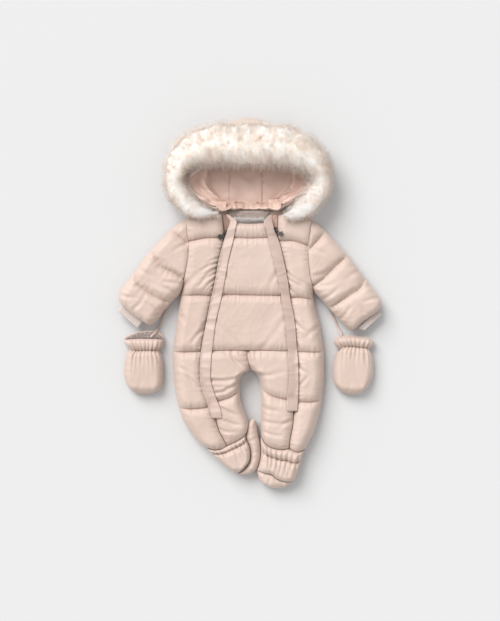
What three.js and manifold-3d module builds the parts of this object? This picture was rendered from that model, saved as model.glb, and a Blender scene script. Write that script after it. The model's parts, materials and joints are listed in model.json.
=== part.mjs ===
// A padded baby snowsuit lying on its back, with a quilted body, a hood with a fur rim, bootees and mittens.
// Millimetres. X runs across the suit, Y from the feet to the hood, Z up from the surface it lies on.
// "Left" and "right" are as seen from above, with the hood at the top.
import * as THREE from 'three';
import { mergeVertices } from 'three/addons/utils/BufferGeometryUtils.js';
import Module from 'manifold-3d';

const wasm = await Module();
wasm.setup();

// Driving sizes
const seamGap = 0.3;         // between two pieces that are sewn together
const backLoft = 20;         // thickness of the back, from the surface to where the front lies on it
const frontLoft = 30;        // thickness of the front at the crest of a quilted channel
const sleeveLoft = 26;       // the same for the upper half of a sleeve
const edgeRound = 26;        // how far from a side seam the padding takes to reach its full height
const quiltRound = 22;       // the same beside a quilting line
const leastEdge = 2;         // thickness of the sewn edge itself
const groundRound = 14;      // how far the underside curls up at an outer edge

const cloth = (colour, roughness = 0.55) =>
  new THREE.MeshStandardMaterial({ color: colour, roughness, metalness: 0 });
const materials = {
  shell: cloth(0xdcc0b2, 0.5),
  lining: cloth(0xc4a698, 0.55),
  fleece: cloth(0xe4dcd6, 0.95),
  fur: cloth(0xf0e2da, 0.95),
  rib: cloth(0xdccdc8, 0.85),
  zip: cloth(0xcfae9f, 0.6),
  metal: new THREE.MeshStandardMaterial({ color: 0x4c4a48, roughness: 0.35, metalness: 0.9 }),
};

const suit = new THREE.Group();

function addPiece(name, geometry, material) {
  const mesh = new THREE.Mesh(geometry, material);
  mesh.name = name;
  suit.add(mesh);
  return mesh;
}

// Small maths
const mix = (a, b, t) => a + (b - a) * t;
const clamp = (x, low = 0, high = 1) => Math.min(high, Math.max(low, x));
const rise = (distance, radius) => Math.sqrt(1 - (1 - clamp(distance / radius)) ** 2);
const steps = (count) => Array.from({ length: count + 1 }, (_, i) => i / count);
const eased = (count) => steps(count).map((t) => (1 - Math.cos(Math.PI * t)) / 2);

// A smooth curve through points of two or three numbers, read by its share of the length.
function curve(points) {
  const line = new THREE.CatmullRomCurve3(
    points.map(([x, y, z = 0]) => new THREE.Vector3(x, y, z)), false, 'centripetal');
  line.arcLengthDivisions = 400;
  return (t) => line.getPointAt(clamp(t)).toArray();
}

// The share of a curve's length at which it reaches the height y. The curve runs downwards.
function shareAt(edge, y) {
  let low = 0;
  let high = 1;
  for (let i = 0; i < 30; i += 1) {
    const middle = (low + high) / 2;
    if (edge(middle)[1] > y) low = middle;
    else high = middle;
  }
  return (low + high) / 2;
}

const part = (edge, from, to) => (t) => edge(mix(from, to, t));
const between = (edge, top, bottom) => part(edge, shareAt(edge, top), shareAt(edge, bottom));
const reversed = (edge) => (t) => edge(1 - t);

// The curve moved sideways in the plane: to the right of its direction if the distance is positive.
function beside(edge, distance) {
  const step = 1e-3;
  return (t) => {
    const [x, y] = edge(t);
    const a = edge(Math.max(0, t - step));
    const b = edge(Math.min(1, t + step));
    const length = Math.hypot(b[0] - a[0], b[1] - a[1]);
    const d = typeof distance === 'function' ? distance(t) : distance;
    return [x + ((b[1] - a[1]) / length) * d, y - ((b[0] - a[0]) / length) * d];
  };
}

// A patch between four edges. left and right run from top to bottom, top and bottom from left to right.
function patch({ left, right, top, bottom }) {
  const blend = (s, v, i) => {
    const across = mix(left(v)[i], right(v)[i], s);
    const upper = top(s)[i] + mix(left(0)[i] - top(0)[i], right(0)[i] - top(1)[i], s);
    const lower = bottom(s)[i] + mix(left(1)[i] - bottom(0)[i], right(1)[i] - bottom(1)[i], s);
    const corners = mix(mix(left(0)[i], right(0)[i], s), mix(left(1)[i], right(1)[i], s), v);
    return across + mix(upper, lower, v) - corners;
  };
  return (s, v) => [blend(s, v, 0), blend(s, v, 1)];
}

// A closed geometry from rows of points and faces
class Shell {
  constructor() {
    this.points = [];
    this.faces = [];
  }

  point(x, y, z) {
    this.points.push(x, y, z);
    return this.points.length / 3 - 1;
  }

  quad(a, b, c, d) {
    this.faces.push(a, b, c, a, c, d);
  }

  // Faces between two rows of vertices. The rows run the same way.
  join(rowA, rowB, closed = false) {
    const last = closed ? rowA.length : rowA.length - 1;
    for (let i = 0; i < last; i += 1) {
      const j = (i + 1) % rowA.length;
      this.quad(rowA[i], rowA[j], rowB[j], rowB[i]);
    }
  }

  // A flat cap over a loop of vertices, facing up or down.
  cap(loop, up) {
    const outline = loop.map((i) => new THREE.Vector2(this.points[3 * i], this.points[3 * i + 1]));
    const triangles = THREE.ShapeUtils.triangulateShape(outline, []);
    for (const [a, b, c] of triangles) {
      const flip = THREE.ShapeUtils.area([outline[a], outline[b], outline[c]]) > 0 !== up;
      if (flip) this.faces.push(loop[a], loop[c], loop[b]);
      else this.faces.push(loop[a], loop[b], loop[c]);
    }
  }

  geometry() {
    const made = new THREE.BufferGeometry();
    made.setAttribute('position', new THREE.Float32BufferAttribute(this.points, 3));
    made.setIndex(this.faces);
    return made;
  }
}

// Solids for joining and cutting pieces
function solidOf(geometry) {
  const bare = geometry.clone();
  bare.deleteAttribute('normal');
  bare.deleteAttribute('uv');
  const merged = mergeVertices(bare, 1e-4);
  return new wasm.Manifold(new wasm.Mesh({
    numProp: 3,
    vertProperties: new Float32Array(merged.attributes.position.array),
    triVerts: new Uint32Array(merged.index.array),
  }));
}

function geometryOf(solid) {
  const largest = solid.decompose().sort((a, b) => b.volume() - a.volume())[0];
  const { vertProperties, triVerts, numProp } = largest.getMesh();
  const made = new THREE.BufferGeometry();
  const positions = [];
  for (let i = 0; i < vertProperties.length; i += numProp) {
    positions.push(vertProperties[i], vertProperties[i + 1], vertProperties[i + 2]);
  }
  made.setAttribute('position', new THREE.Float32BufferAttribute(positions, 3));
  made.setIndex(Array.from(triVerts));
  return made;
}

function boxSolid([x0, y0, z0], [x1, y1, z1]) {
  const box = new THREE.BoxGeometry(x1 - x0, y1 - y0, z1 - z0);
  box.translate((x0 + x1) / 2, (y0 + y1) / 2, (z0 + z1) / 2);
  return solidOf(box);
}

// How far a point in the plane is from a short quilting line
function distanceTo(line, [x, y]) {
  return Math.min(...steps(24).map((t) => Math.hypot(line(t)[0] - x, line(t)[1] - y)));
}

// Quilting. A crease holds the padding down: depth is the share of the loft lost at the line itself.
function paddingAt({ plan, creases, rows = [] }) {
  return (s, v) => {
    const here = plan(s, v);
    const gapTo = (s2, v2) => Math.hypot(plan(s2, v2)[0] - here[0], plan(s2, v2)[1] - here[1]);
    let share = 1;
    const sides = { left: [0, v], right: [1, v], top: [s, 0], bottom: [s, 1] };
    for (const [side, [s2, v2]] of Object.entries(sides)) {
      const { depth, round } = creases[side](s, v);
      share *= 1 - depth * (1 - rise(gapTo(s2, v2), round));
    }
    for (const row of rows) {
      const distance = row.line ? distanceTo(row.line, here) : gapTo(s, clamp(mix(row.left, row.right, s)));
      share *= 1 - row.depth * (1 - rise(distance, row.round ?? quiltRound));
    }
    return share;
  };
}

const crease = (depth, round = edgeRound) => () => ({ depth, round });

// Grid lines down a panel that fall on its quilting rows.
function rowLines(rows, perChannel) {
  const marks = [{ left: 0, right: 0 }, ...rows, { left: 1, right: 1 }];
  const lines = [];
  for (let k = 0; k < marks.length - 1; k += 1) {
    const count = Array.isArray(perChannel) ? perChannel[k] : perChannel;
    for (const t of eased(count).slice(0, -1)) {
      const [before, after] = [marks[k], marks[k + 1]];
      lines.push({ left: mix(before.left, after.left, t), right: mix(before.right, after.right, t) });
    }
  }
  lines.push({ left: 1, right: 1 });
  return lines;
}

// A padded panel: a curved face over a flat one. It is upside down if the loft is negative.
function paddedPanel({ plan, creases, rows = [], columns, perChannel, flat, loft, least = leastEdge, wave }) {
  const padding = paddingAt({ plan, creases, rows });
  const shell = new Shell();
  const sign = Math.sign(loft);
  const grid = rowLines(rows, perChannel).map(({ left, right }) => columns.map((s) => {
    const v = mix(left, right, s);
    const [x, y] = plan(s, v);
    const lift = Math.max(Math.abs(loft) * padding(s, v) + (wave ? wave(s, v) : 0), least);
    return shell.point(x, y, Math.max(0, flat + sign * lift));
  }));
  for (let k = 0; k < grid.length - 1; k += 1) {
    if (sign > 0) shell.join(grid[k + 1], grid[k]);
    else shell.join(grid[k], grid[k + 1]);
  }
  const last = grid.length - 1;
  const rim = [
    ...grid[0],
    ...grid.slice(1, last).map((row) => row[row.length - 1]),
    ...[...grid[last]].reverse(),
    ...grid.slice(1, last).reverse().map((row) => row[0]),
  ];
  const foot = rim.map((i) => shell.point(shell.points[3 * i], shell.points[3 * i + 1], flat));
  if (sign > 0) shell.join(rim, foot, true);
  else shell.join(foot, rim, true);
  shell.cap(foot, sign < 0);
  return shell.geometry();
}

// Closed tube from rings of points, each ring running the same way round.
function tube(rings, capped = true) {
  const shell = new Shell();
  const rows = rings.map((ring) => ring.map(([x, y, z]) => shell.point(x, y, z)));
  for (let i = 0; i < rows.length - 1; i += 1) shell.join(rows[i], rows[i + 1], true);
  if (!capped) shell.join(rows[rows.length - 1], rows[0], true);
  else {
    for (const [row, end] of [[rows[0], 0], [rows[rows.length - 1], 1]]) {
      const middle = [0, 1, 2].map((axis) => (
        row.reduce((sum, i) => sum + shell.points[3 * i + axis], 0) / row.length));
      const hub = shell.point(...middle);
      row.forEach((a, i) => {
        const b = row[(i + 1) % row.length];
        if (end) shell.faces.push(a, b, hub);
        else shell.faces.push(b, a, hub);
      });
    }
  }
  return shell.geometry();
}

function facingOut(geometry) {
  const solid = solidOf(geometry);
  if (solid.volume() >= 0) return geometry;
  const index = Array.from(geometry.index.array);
  for (let i = 0; i < index.length; i += 3) [index[i + 1], index[i + 2]] = [index[i + 2], index[i + 1]];
  geometry.setIndex(index);
  return geometry;
}

// Seam lines of the body, from the hood down
const seams = {
  outerLeft: curve([
    [-143, 194], [-141, 162], [-138, 140], [-137, 117], [-138, 99], [-142, 77], [-147, 50], [-152, 27],
    [-156, 2], [-161, -29], [-166, -60], [-170, -86], [-173, -119], [-173, -142], [-171, -176],
    [-167, -207], [-159, -239], [-150, -266], [-134, -293], [-118, -313], [-96, -329]]),
  outerRight: curve([
    [140, 189], [135, 158], [132, 124], [132, 101], [134, 77], [138, 50], [143, 27], [145, 5],
    [152, -25], [159, -52], [163, -81], [167, -108], [168, -142], [168, -176], [165, -203],
    [162, -230], [155, -261], [147, -288], [138, -308], [125, -333]]),
  neckLeft: curve([[-143, 194], [-100, 202], [-63, 199]]),
  neckRight: curve([[65, 197], [100, 200], [140, 189]]),
  neckCentre: curve([[-38, 181], [-18, 179], [1, 178], [24, 179], [44, 181]]),
  waist: curve([[-100, -110], [-50, -108], [0, -108], [50, -109], [99, -110]]),
  hemLeft: curve([
    [-96, -329], [-80, -332], [-64, -330], [-51, -324], [-33, -315], [-15, -304], [-6, -291], [-2, -272]]),
  hemRight: curve([
    [26, -304], [37, -320], [53, -329], [73, -332], [89, -331], [98, -335], [110, -338], [125, -333]]),
};

// Zip lines: x, y and half the width of the opening that the zip closes
const zipRows = {
  left: [
    [-52, 198, 11], [-50, 173, 10], [-51, 149, 6], [-55.5, 128, 4.5], [-60, 104, 4], [-66, 77, 4],
    [-71, 50, 3.7], [-78.5, 16, 3.6], [-86.5, -18, 3.5], [-94, -52, 3.5], [-100.5, -86, 3.5],
    [-104, -119, 3.5], [-104.5, -153, 3.5], [-101.5, -180, 3.5], [-92.5, -209, 3.5], [-81.5, -241, 3.3],
    [-76.5, -262, 0.7], [-69, -288, 0.7], [-60, -306, 0.6], [-51, -324, 0.5]],
  right: [
    [54, 196, 11], [54, 162, 10], [59, 140, 6], [68.5, 106, 4.2], [74.5, 83, 4], [78.5, 61, 3.8],
    [84.5, 27, 3.6], [89, -7, 3.5], [94.5, -41, 3.5], [97.5, -74, 3.5], [101.5, -108, 3.5],
    [103.5, -142, 3.5], [103.5, -176, 3.5], [102.5, -209, 3.5], [101, -240, 3.3], [99, -252, 0.45],
    [97.5, -277, 0.45], [92, -304, 0.45], [89, -331, 0.45]],
};

function zipLine(rows) {
  const middle = curve(rows.map(([x, y]) => [x, y]));
  const halfAt = (t) => {
    const y = middle(t)[1];
    const next = clamp(rows.findIndex((row) => row[1] <= y), 1, rows.length - 1);
    const [, upperY, upperHalf] = rows[next - 1];
    const [, lowerY, lowerHalf] = rows[next];
    return mix(upperHalf, lowerHalf, clamp((upperY - y) / (upperY - lowerY)));
  };
  return { middle, halfAt };
}
const zips = { left: zipLine(zipRows.left), right: zipLine(zipRows.right) };
const zipEdge = (zip, side) => beside(zip.middle, (t) => side * zip.halfAt(t));

// The two sides of each zip: a curve that runs downwards has the left side of the picture on its right.
const zipSides = {
  leftOuter: zipEdge(zips.left, 1),
  leftInner: zipEdge(zips.left, -1),
  rightInner: zipEdge(zips.right, 1),
  rightOuter: zipEdge(zips.right, -1),
};

// Creases of the panels
const armpit = { left: 46, right: 30 };
const sleeveCrease = { depth: 0.32, round: 20 };
const sideCrease = { depth: 1, round: edgeRound };
function outerCrease(edge, armpitY) {
  return (s, v) => {
    const share = clamp((edge(v)[1] - armpitY + 12) / 24);
    return {
      depth: mix(sideCrease.depth, sleeveCrease.depth, share),
      round: mix(sideCrease.round, sleeveCrease.round, share),
    };
  };
}
const zipCrease = crease(0.35, 18);
const neckCrease = crease(0.5, 22);
const hemCrease = crease(0.62, 20);

// Quilting rows, by their heights at the left and the right edge of a panel, and how deep they pull in
const quilting = {
  frontLeft: [
    { left: 137, right: 144, depth: 0.36 }, { left: 15, right: 14, depth: 0.36 },
    { left: -111, right: -109, depth: 0.36 }, { left: -238, right: -234, depth: 0.3 }],
  frontRight: [
    { left: 138, right: 127, depth: 0.36 }, { left: 10, right: 6, depth: 0.36 },
    { left: -111, right: -112, depth: 0.3 }, { left: -224, right: -219, depth: 0.3 }],
  frontCentre: [
    { left: 146, right: 146, depth: 0.3 }, { left: 17, right: 15, depth: 0.32 }],
  innerLegLeft: [{ left: -226, right: -197, depth: 0.3 }],
  innerLegRight: [{ left: -196, right: -221, depth: 0.32 }],
};

const rowShares = (rows, left, right) => rows.map((row) => ({
  ...row, left: shareAt(left, row.left), right: shareAt(right, row.right),
}));

// Where the edge first passes a test on its point, as a share of its length
function shareWhere(edge, passed) {
  let low = 0;
  let high = 1;
  for (let i = 0; i < 30; i += 1) {
    const middle = (low + high) / 2;
    if (passed(edge(middle))) high = middle;
    else low = middle;
  }
  return (low + high) / 2;
}

const panelSolid = (spec) => paddedPanel({
  ...spec,
  plan: patch(spec.edges),
  rows: rowShares(spec.rows ?? [], spec.edges.left, spec.edges.right),
});
const onBack = { flat: backLoft + seamGap, loft: frontLoft };
const half = seamGap / 2;

// Front of the body and legs
const hemSplit = {
  left: shareWhere(seams.hemLeft, ([x]) => x > -51),
  right: shareWhere(seams.hemRight, ([x]) => x > 89),
};
const crotchCrease = (s, v, edge) => (edge(v)[1] > -156 ? { depth: 0.45, round: 20 } : sideCrease);
const innerSeam = {
  left: curve([
    [-6, -109], [-4, -128], [-0.4, -143], [1, -152], [-8, -158], [-17, -167], [-21, -178], [-22, -194],
    [-21, -212], [-17, -232], [-10, -252], [-2, -272]]),
  right: curve([
    [-6, -109], [-4, -128], [0.4, -143], [5, -153], [15, -160], [21, -171], [25, -189], [26, -209],
    [26, -243], [25, -277], [26, -304]]),
};
const waistSplit = shareWhere(seams.waist, ([x]) => x > -6);

const frontPieces = [
  {
    name: 'front_left',
    edges: {
      left: beside(seams.outerLeft, -half),
      right: zipSides.leftOuter,
      top: beside(seams.neckLeft, half),
      bottom: beside(part(seams.hemLeft, 0, hemSplit.left), -half),
    },
    creases: {
      left: outerCrease(seams.outerLeft, armpit.left), right: zipCrease, top: neckCrease, bottom: hemCrease,
    },
    rows: quilting.frontLeft,
    columns: [0, 0.03, 0.1, 0.22, 0.45, 0.7, 0.86, 1],
    perChannel: [3, 5, 5, 6, 4],
  },
  {
    name: 'front_right',
    edges: {
      left: zipSides.rightOuter,
      right: beside(seams.outerRight, half),
      top: beside(seams.neckRight, half),
      bottom: beside(part(seams.hemRight, hemSplit.right, 1), -half),
    },
    creases: {
      left: zipCrease, right: outerCrease(seams.outerRight, armpit.right), top: neckCrease, bottom: hemCrease,
    },
    rows: quilting.frontRight,
    columns: [0, 0.14, 0.3, 0.55, 0.78, 0.9, 0.97, 1],
    perChannel: [3, 5, 5, 6, 4],
  },
  {
    name: 'front_centre',
    edges: {
      left: between(zipSides.leftInner, 181, -109.6),
      right: between(zipSides.rightInner, 181, -108.8),
      top: beside(seams.neckCentre, half),
      bottom: beside(seams.waist, -half),
    },
    creases: { left: zipCrease, right: zipCrease, top: crease(0.6, 12), bottom: crease(0.36, quiltRound) },
    rows: quilting.frontCentre,
    columns: [0, 0.06, 0.16, 0.34, 0.5, 0.66, 0.84, 0.94, 1],
    perChannel: [3, 6, 5],
  },
  {
    name: 'inner_leg_left',
    edges: {
      left: between(zipSides.leftInner, -110.2, -324),
      right: beside(innerSeam.left, half),
      top: beside(part(seams.waist, 0, waistSplit), half),
      bottom: beside(part(seams.hemLeft, hemSplit.left, 1), -half),
    },
    creases: {
      left: zipCrease, right: (s, v) => crotchCrease(s, v, innerSeam.left), top: crease(0.36, quiltRound),
      bottom: hemCrease,
    },
    rows: quilting.innerLegLeft,
    columns: [0, 0.14, 0.3, 0.5, 0.7, 0.84, 0.94, 1],
    perChannel: [7, 5],
  },
  {
    name: 'inner_leg_right',
    edges: {
      left: beside(innerSeam.right, -half),
      right: between(zipSides.rightInner, -109.4, -331),
      top: beside(part(seams.waist, waistSplit, 1), half),
      bottom: beside(part(seams.hemRight, 0, hemSplit.right), -half),
    },
    creases: {
      left: (s, v) => crotchCrease(s, v, innerSeam.right), right: zipCrease, top: crease(0.36, quiltRound),
      bottom: hemCrease,
    },
    rows: quilting.innerLegRight,
    columns: [0, 0.06, 0.16, 0.3, 0.5, 0.7, 0.86, 1],
    perChannel: [7, 6],
  },
];
const front = Object.fromEntries(frontPieces.map((spec) => {
  const geometry = panelSolid({ ...spec, ...onBack });
  return [spec.name, addPiece(spec.name, geometry, materials.shell)];
}));

// Back of the body, in two halves sewn together down the middle. Its underside is what the suit lies on.
const backTop = {
  left: curve([[-143, 194], [-118, 202], [-90, 206], [-60, 206.5], [-0.2, 206]]),
  right: curve([[0.2, 206], [60, 206.5], [90, 205], [115, 199], [140, 189]]),
};
const backMiddle = {
  left: curve([
    [0, 206], [1.4, 140], [2.6, 60], [3, -20], [2.8, -90], [2.6, -125], [2, -142], [-4, -154],
    [-17, -167], [-21, -178], [-22, -194], [-21, -212], [-17, -232], [-10, -252], [-2, -272]]),
  right: curve([
    [0, 206], [1.4, 140], [2.6, 60], [3, -20], [2.8, -90], [2.6, -125], [3.2, -142], [8, -153],
    [21, -171], [25, -189], [26, -209], [26, -243], [25, -277], [26, -304]]),
};
const groundCrease = (edge, armpitY) => (s, v) => ({
  depth: edge(v)[1] > armpitY ? 0.15 : 0.55, round: groundRound,
});
const middleCrease = (edge) => (s, v) => ({ depth: edge(v)[1] > -150 ? 0.2 : 0.55, round: 12 });
const underRows = (levels) => levels.map((y) => ({ left: y, right: y, depth: 0.22, round: 10 }));
const backPieces = [
  {
    name: 'back_left',
    edges: {
      left: beside(seams.outerLeft, -half),
      right: beside(backMiddle.left, half),
      top: beside(backTop.left, half),
      bottom: beside(seams.hemLeft, -half),
    },
    creases: {
      left: groundCrease(seams.outerLeft, armpit.left), right: middleCrease(backMiddle.left),
      top: crease(0.45, 12), bottom: crease(0.3, 12),
    },
    rows: underRows([140, 14, -110, -225]),
    columns: [0, 0.04, 0.14, 0.32, 0.5, 0.68, 0.86, 0.96, 1],
  },
  {
    name: 'back_right',
    edges: {
      left: beside(backMiddle.right, -half),
      right: beside(seams.outerRight, half),
      top: beside(backTop.right, half),
      bottom: beside(seams.hemRight, -half),
    },
    creases: {
      left: middleCrease(backMiddle.right), right: groundCrease(seams.outerRight, armpit.right),
      top: crease(0.45, 12), bottom: crease(0.3, 12),
    },
    rows: underRows([140, 14, -110, -225]),
    columns: [0, 0.04, 0.14, 0.32, 0.5, 0.68, 0.86, 0.96, 1],
  },
];
for (const spec of backPieces) {
  const geometry = panelSolid({ ...spec, perChannel: [3, 4, 4, 5, 4], flat: backLoft, loft: -backLoft });
  addPiece(spec.name, geometry, materials.shell);
}

// Sleeves: flattened tubes, open at the armhole and at the hem
const sleeveMiddle = 22;     // height of the flattened opening inside the sleeve
const sleeveOpening = [      // share of the way to the hem, half the height of the opening
  { v: 0, half: 0.6 }, { v: 0.72, half: 0.6 }, { v: 0.88, half: 3.4 }, { v: 1, half: 4.6 }];

function sleeve({ edges, rows, columns, stations, opening }) {
  const plan = patch(edges);
  const creases = {
    left: crease(0.86, 26), right: crease(0.86, 26), top: crease(0.3, 20), bottom: crease(0.5, 18),
  };
  const upper = paddingAt({ plan, creases, rows });
  const lower = paddingAt({ plan, creases: { ...creases, top: crease(0.15, 14), bottom: crease(0.3, 12) } });
  const outer = eased(stations).map((v) => {
    const at = (s, side) => {
      const [x, y] = plan(s, v);
      if (side > 0) return [x, y, sleeveMiddle + sleeveLoft * upper(s, v)];
      return [x, y, Math.max(0, sleeveMiddle - sleeveMiddle * lower(s, v))];
    };
    return [...columns.map((s) => at(s, 1)), ...[...columns].reverse().map((s) => at(s, -1))];
  });
  const inner = sleeveOpening.map(({ v, half: height }) => {
    const at = (s, side) => {
      const [x, y] = plan(mix(opening[0], opening[1], s), v);
      return [x, y, sleeveMiddle + side * height * (0.25 + 0.75 * rise(Math.min(s, 1 - s), 0.12))];
    };
    return [...columns.map((s) => at(s, 1)), ...[...columns].reverse().map((s) => at(s, -1))];
  });
  return facingOut(tube([...outer, ...inner.reverse()], false));
}

const sleeveColumns = [0, 0.05, 0.14, 0.26, 0.38, 0.5, 0.62, 0.74, 0.86, 0.95, 1];
const sleeves = {
  left: {
    edges: {
      left: curve([
        [-145, 191], [-177, 164], [-197, 144], [-222, 117], [-244, 90], [-269, 56], [-291, 27], [-296, 3]]),
      right: curve([
        [-149, 50], [-153.5, 27], [-160, 15], [-168, 7], [-183, -9], [-195, -23], [-208, -41], [-219, -52]]),
      top: beside(between(seams.outerLeft, 191, 50), 0.5),
      bottom: curve([
        [-296, 3], [-287, -7], [-273, -20], [-255, -34], [-242, -42], [-231, -50], [-219, -52]]),
    },
    rows: [
      { line: curve([[-177.5, 162], [-142, 133]]), depth: 0.36 },
      { line: curve([[-222, 113], [-198.5, 80], [-166, 62], [-147.5, 50]]), depth: 0.36 },
      { line: curve([[-261, 59], [-247, 35], [-209, 10], [-180, -1]]), depth: 0.36 }],
    opening: [0.07, 0.8],
  },
  right: {
    edges: {
      left: curve([
        [144, 29], [152, 16], [165, 2], [181, -16], [195, -32], [210, -47], [224, -61]]),
      right: curve([
        [141, 189], [172, 160], [195, 135], [219, 108], [240, 81], [260, 54], [280, 27], [294, 9],
        [298, -6]]),
      top: reversed(beside(between(seams.outerRight, 188.7, 29), -0.4)),
      bottom: reversed(curve([
        [298, -6], [291, -18], [273, -32], [251, -47], [242, -56], [233, -62], [224, -61]])),
    },
    rows: [
      { line: curve([[172, 160], [137.5, 122]]), depth: 0.36 },
      { line: curve([[220, 106], [192, 79], [165, 52], [144, 37.5]]), depth: 0.36 },
      { line: curve([[260, 52], [246, 29.5], [219, 11.5], [185, -10]]), depth: 0.36 }],
    opening: [0.2, 0.93],
  },
};
for (const [side, spec] of Object.entries(sleeves)) {
  const geometry = sleeve({ ...spec, columns: sleeveColumns, stations: 24 });
  addPiece(`sleeve_${side}`, geometry, materials.shell);
}

// Ribbed cuffs: knitted tubes that start inside the sleeve hems
const ribs = 10;
const cuffWall = 2.6;
const cuffs = {
  left: { start: [[-287, -7], [-240, -43]], end: [[-298, -20], [-253, -59]] },
  right: { start: [[289, -18], [244, -59]], end: [[298, -29], [260, -64]] },
};
function cuff({ start, end }) {
  const count = 2 * ribs;
  const ring = (t, inset, heights) => {
    const across = (s) => [0, 1].map((i) => (
      mix(mix(start[0][i], end[0][i], t), mix(start[1][i], end[1][i], t), s)));
    const width = Math.hypot(across(1)[0] - across(0)[0], across(1)[1] - across(0)[1]);
    const at = (k, side) => {
      const s = mix(inset / width, 1 - inset / width, k / count);
      const height = heights(k) * (0.4 + 0.6 * rise(Math.min(k, count - k) / count, 0.09));
      return [...across(s), sleeveMiddle + side * height];
    };
    const order = Array.from({ length: count + 1 }, (_, k) => k);
    return [...order.map((k) => at(k, 1)), ...[...order].reverse().map((k) => at(k, -1))];
  };
  const ribbed = (k) => (k % 2 ? 3.9 : 3.1);
  const rings = [
    ...[0, 0.5, 0.92].map((t) => ring(t, 0, ribbed)),
    ring(1, 0, (k) => ribbed(k) - 0.7),
    ...[1, 0].map((t) => ring(t, cuffWall, () => 3.1 - cuffWall + 0.1)),
  ];
  return facingOut(tube(rings, false));
}
for (const [side, spec] of Object.entries(cuffs)) addPiece(`cuff_${side}`, cuff(spec), materials.rib);

// Zips: a strip between the two panel edges with the row of teeth raised along its middle
const zipEnds = { left: -261, right: -248 };
function zipStrip({ middle, halfAt }, endY) {
  const profile = [
    [-1, 25.4], [-0.45, 25.4], [-0.3, 27.6], [0.3, 27.6], [0.45, 25.4], [1, 25.4], [1, 23.2], [-1, 23.2]];
  const last = shareAt(middle, endY);
  const rings = steps(20).map((t) => {
    const place = t * last;
    const reach = halfAt(place) - 1.3;
    return profile.map(([share, z]) => {
      const teeth = Math.sign(share) * Math.min(Math.abs(share) * 3.4, reach);
      const wide = Math.abs(share) === 1 ? share * reach : teeth;
      return [...beside(middle, -wide)(place), z];
    });
  });
  return facingOut(tube(rings));
}
const zipMeshes = Object.fromEntries(Object.entries(zips).map(([side, zip]) => [
  side, addPiece(`zip_${side}`, zipStrip(zip, zipEnds[side]), materials.zip)]));

// Heights of what already lies there, found by looking straight down
const downward = new THREE.Raycaster();
function heightOver(meshes, x, y) {
  downward.set(new THREE.Vector3(x, y, 400), new THREE.Vector3(0, 0, -1));
  const hit = downward.intersectObjects(meshes, false)[0];
  return hit ? hit.point.z : 0;
}

// A flat strip laid over the pieces under it: rows of y, x at one edge, x at the other edge
function laidStrip({ edges, under, thickness, columns = 4, stations = 40, floor = 0, reach = 5.5 }) {
  const a = curve(edges.map(([y, x]) => [x, y]));
  const b = curve(edges.map(([y, , x]) => [x, y]));
  const around = [[0, 0], [reach, 0], [-reach, 0], [0, reach], [0, -reach], [reach, reach], [-reach, -reach]];
  const grid = steps(stations).map((t) => steps(columns - 1).map((s) => {
    const [x, y] = [0, 1].map((i) => mix(a(t)[i], b(t)[i], s));
    const heights = around.map(([dx, dy]) => heightOver(under, x + dx, y + dy));
    return [x, y, Math.max(floor, ...heights) + placketClear];
  }));
  // Cloth bridges a narrow dip: its height changes no faster than it can bend.
  const steepest = 0.3;
  for (let pass = 0; pass < 40; pass += 1) {
    grid.forEach((row, i) => row.forEach((point, j) => {
      for (const [k, l] of [[i - 1, j], [i + 1, j], [i, j - 1], [i, j + 1]]) {
        const other = grid[k]?.[l];
        if (other) {
          const distance = Math.hypot(other[0] - point[0], other[1] - point[1]);
          point[2] = Math.max(point[2], other[2] - steepest * distance);
        }
      }
    }));
  }
  const shell = new Shell();
  const layer = (lift) => grid.map((row) => row.map(([x, y, z]) => shell.point(x, y, z + lift)));
  const [lower, upper] = [layer(0), layer(thickness)];
  for (let i = 0; i < stations; i += 1) {
    shell.join(upper[i], upper[i + 1]);
    shell.join(lower[i + 1], lower[i]);
  }
  const rim = (rows) => [
    ...rows[0], ...rows.slice(1, -1).map((row) => row.at(-1)), ...[...rows.at(-1)].reverse(),
    ...rows.slice(1, -1).reverse().map((row) => row[0])];
  shell.join(rim(lower), rim(upper), true);
  return facingOut(shell.geometry());
}

// Sliders: each has a link that ends in a bar, outside the placket, for the eye of the pull
const pullTilt = THREE.MathUtils.degToRad(9);
const barRadius = 0.9;
const pulls = {
  left: { body: [-50.6, 156], bar: [-57.2, 152.5], height: 44.6, towards: [-67, 144.6] },
  right: { body: [57.4, 163], bar: [62.6, 159.4], height: 49.2, towards: [71.8, 150.6] },
};

function placed(geometry, matrix) {
  return geometry.clone().applyMatrix4(matrix);
}

// A frame at the bar: x along the pull, y along the bar, z up.
function pullFrame({ bar, height, towards }) {
  const along = new THREE.Vector3(towards[0] - bar[0], towards[1] - bar[1], 0).normalize();
  const up = new THREE.Vector3(0, 0, 1);
  const barAxis = new THREE.Vector3().crossVectors(up, along);
  const frame = new THREE.Matrix4().makeBasis(along, barAxis, up);
  return frame.setPosition(bar[0], bar[1], height);
}

function slider(spec) {
  const frame = pullFrame(spec);
  const box = (size, centre) => placed(
    new THREE.BoxGeometry(...size).translate(...centre), frame);
  const reach = Math.hypot(spec.bar[0] - spec.body[0], spec.bar[1] - spec.body[1]);
  const body = new THREE.BoxGeometry(7, 11, 4.4).translate(spec.body[0], spec.body[1], 30.2);
  const post = new THREE.CylinderGeometry(1.5, 1.5, spec.height - 28, 14).rotateX(Math.PI / 2);
  post.translate(spec.body[0], spec.body[1], (spec.height + 28) / 2);
  const arms = [-1, 1].map((side) => box([reach + 1.2, 1.1, 1.8], [-reach / 2, side * 2.6, 0]));
  const heel = box([3, 6.3, 1.8], [-reach, 0, 0]);
  const bar = placed(new THREE.CylinderGeometry(barRadius, barRadius, 5.4, 20), frame);
  const joined = [body, post, ...arms, heel, bar].map(solidOf).reduce((sum, solid) => sum.add(solid));
  return geometryOf(joined);
}

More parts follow.
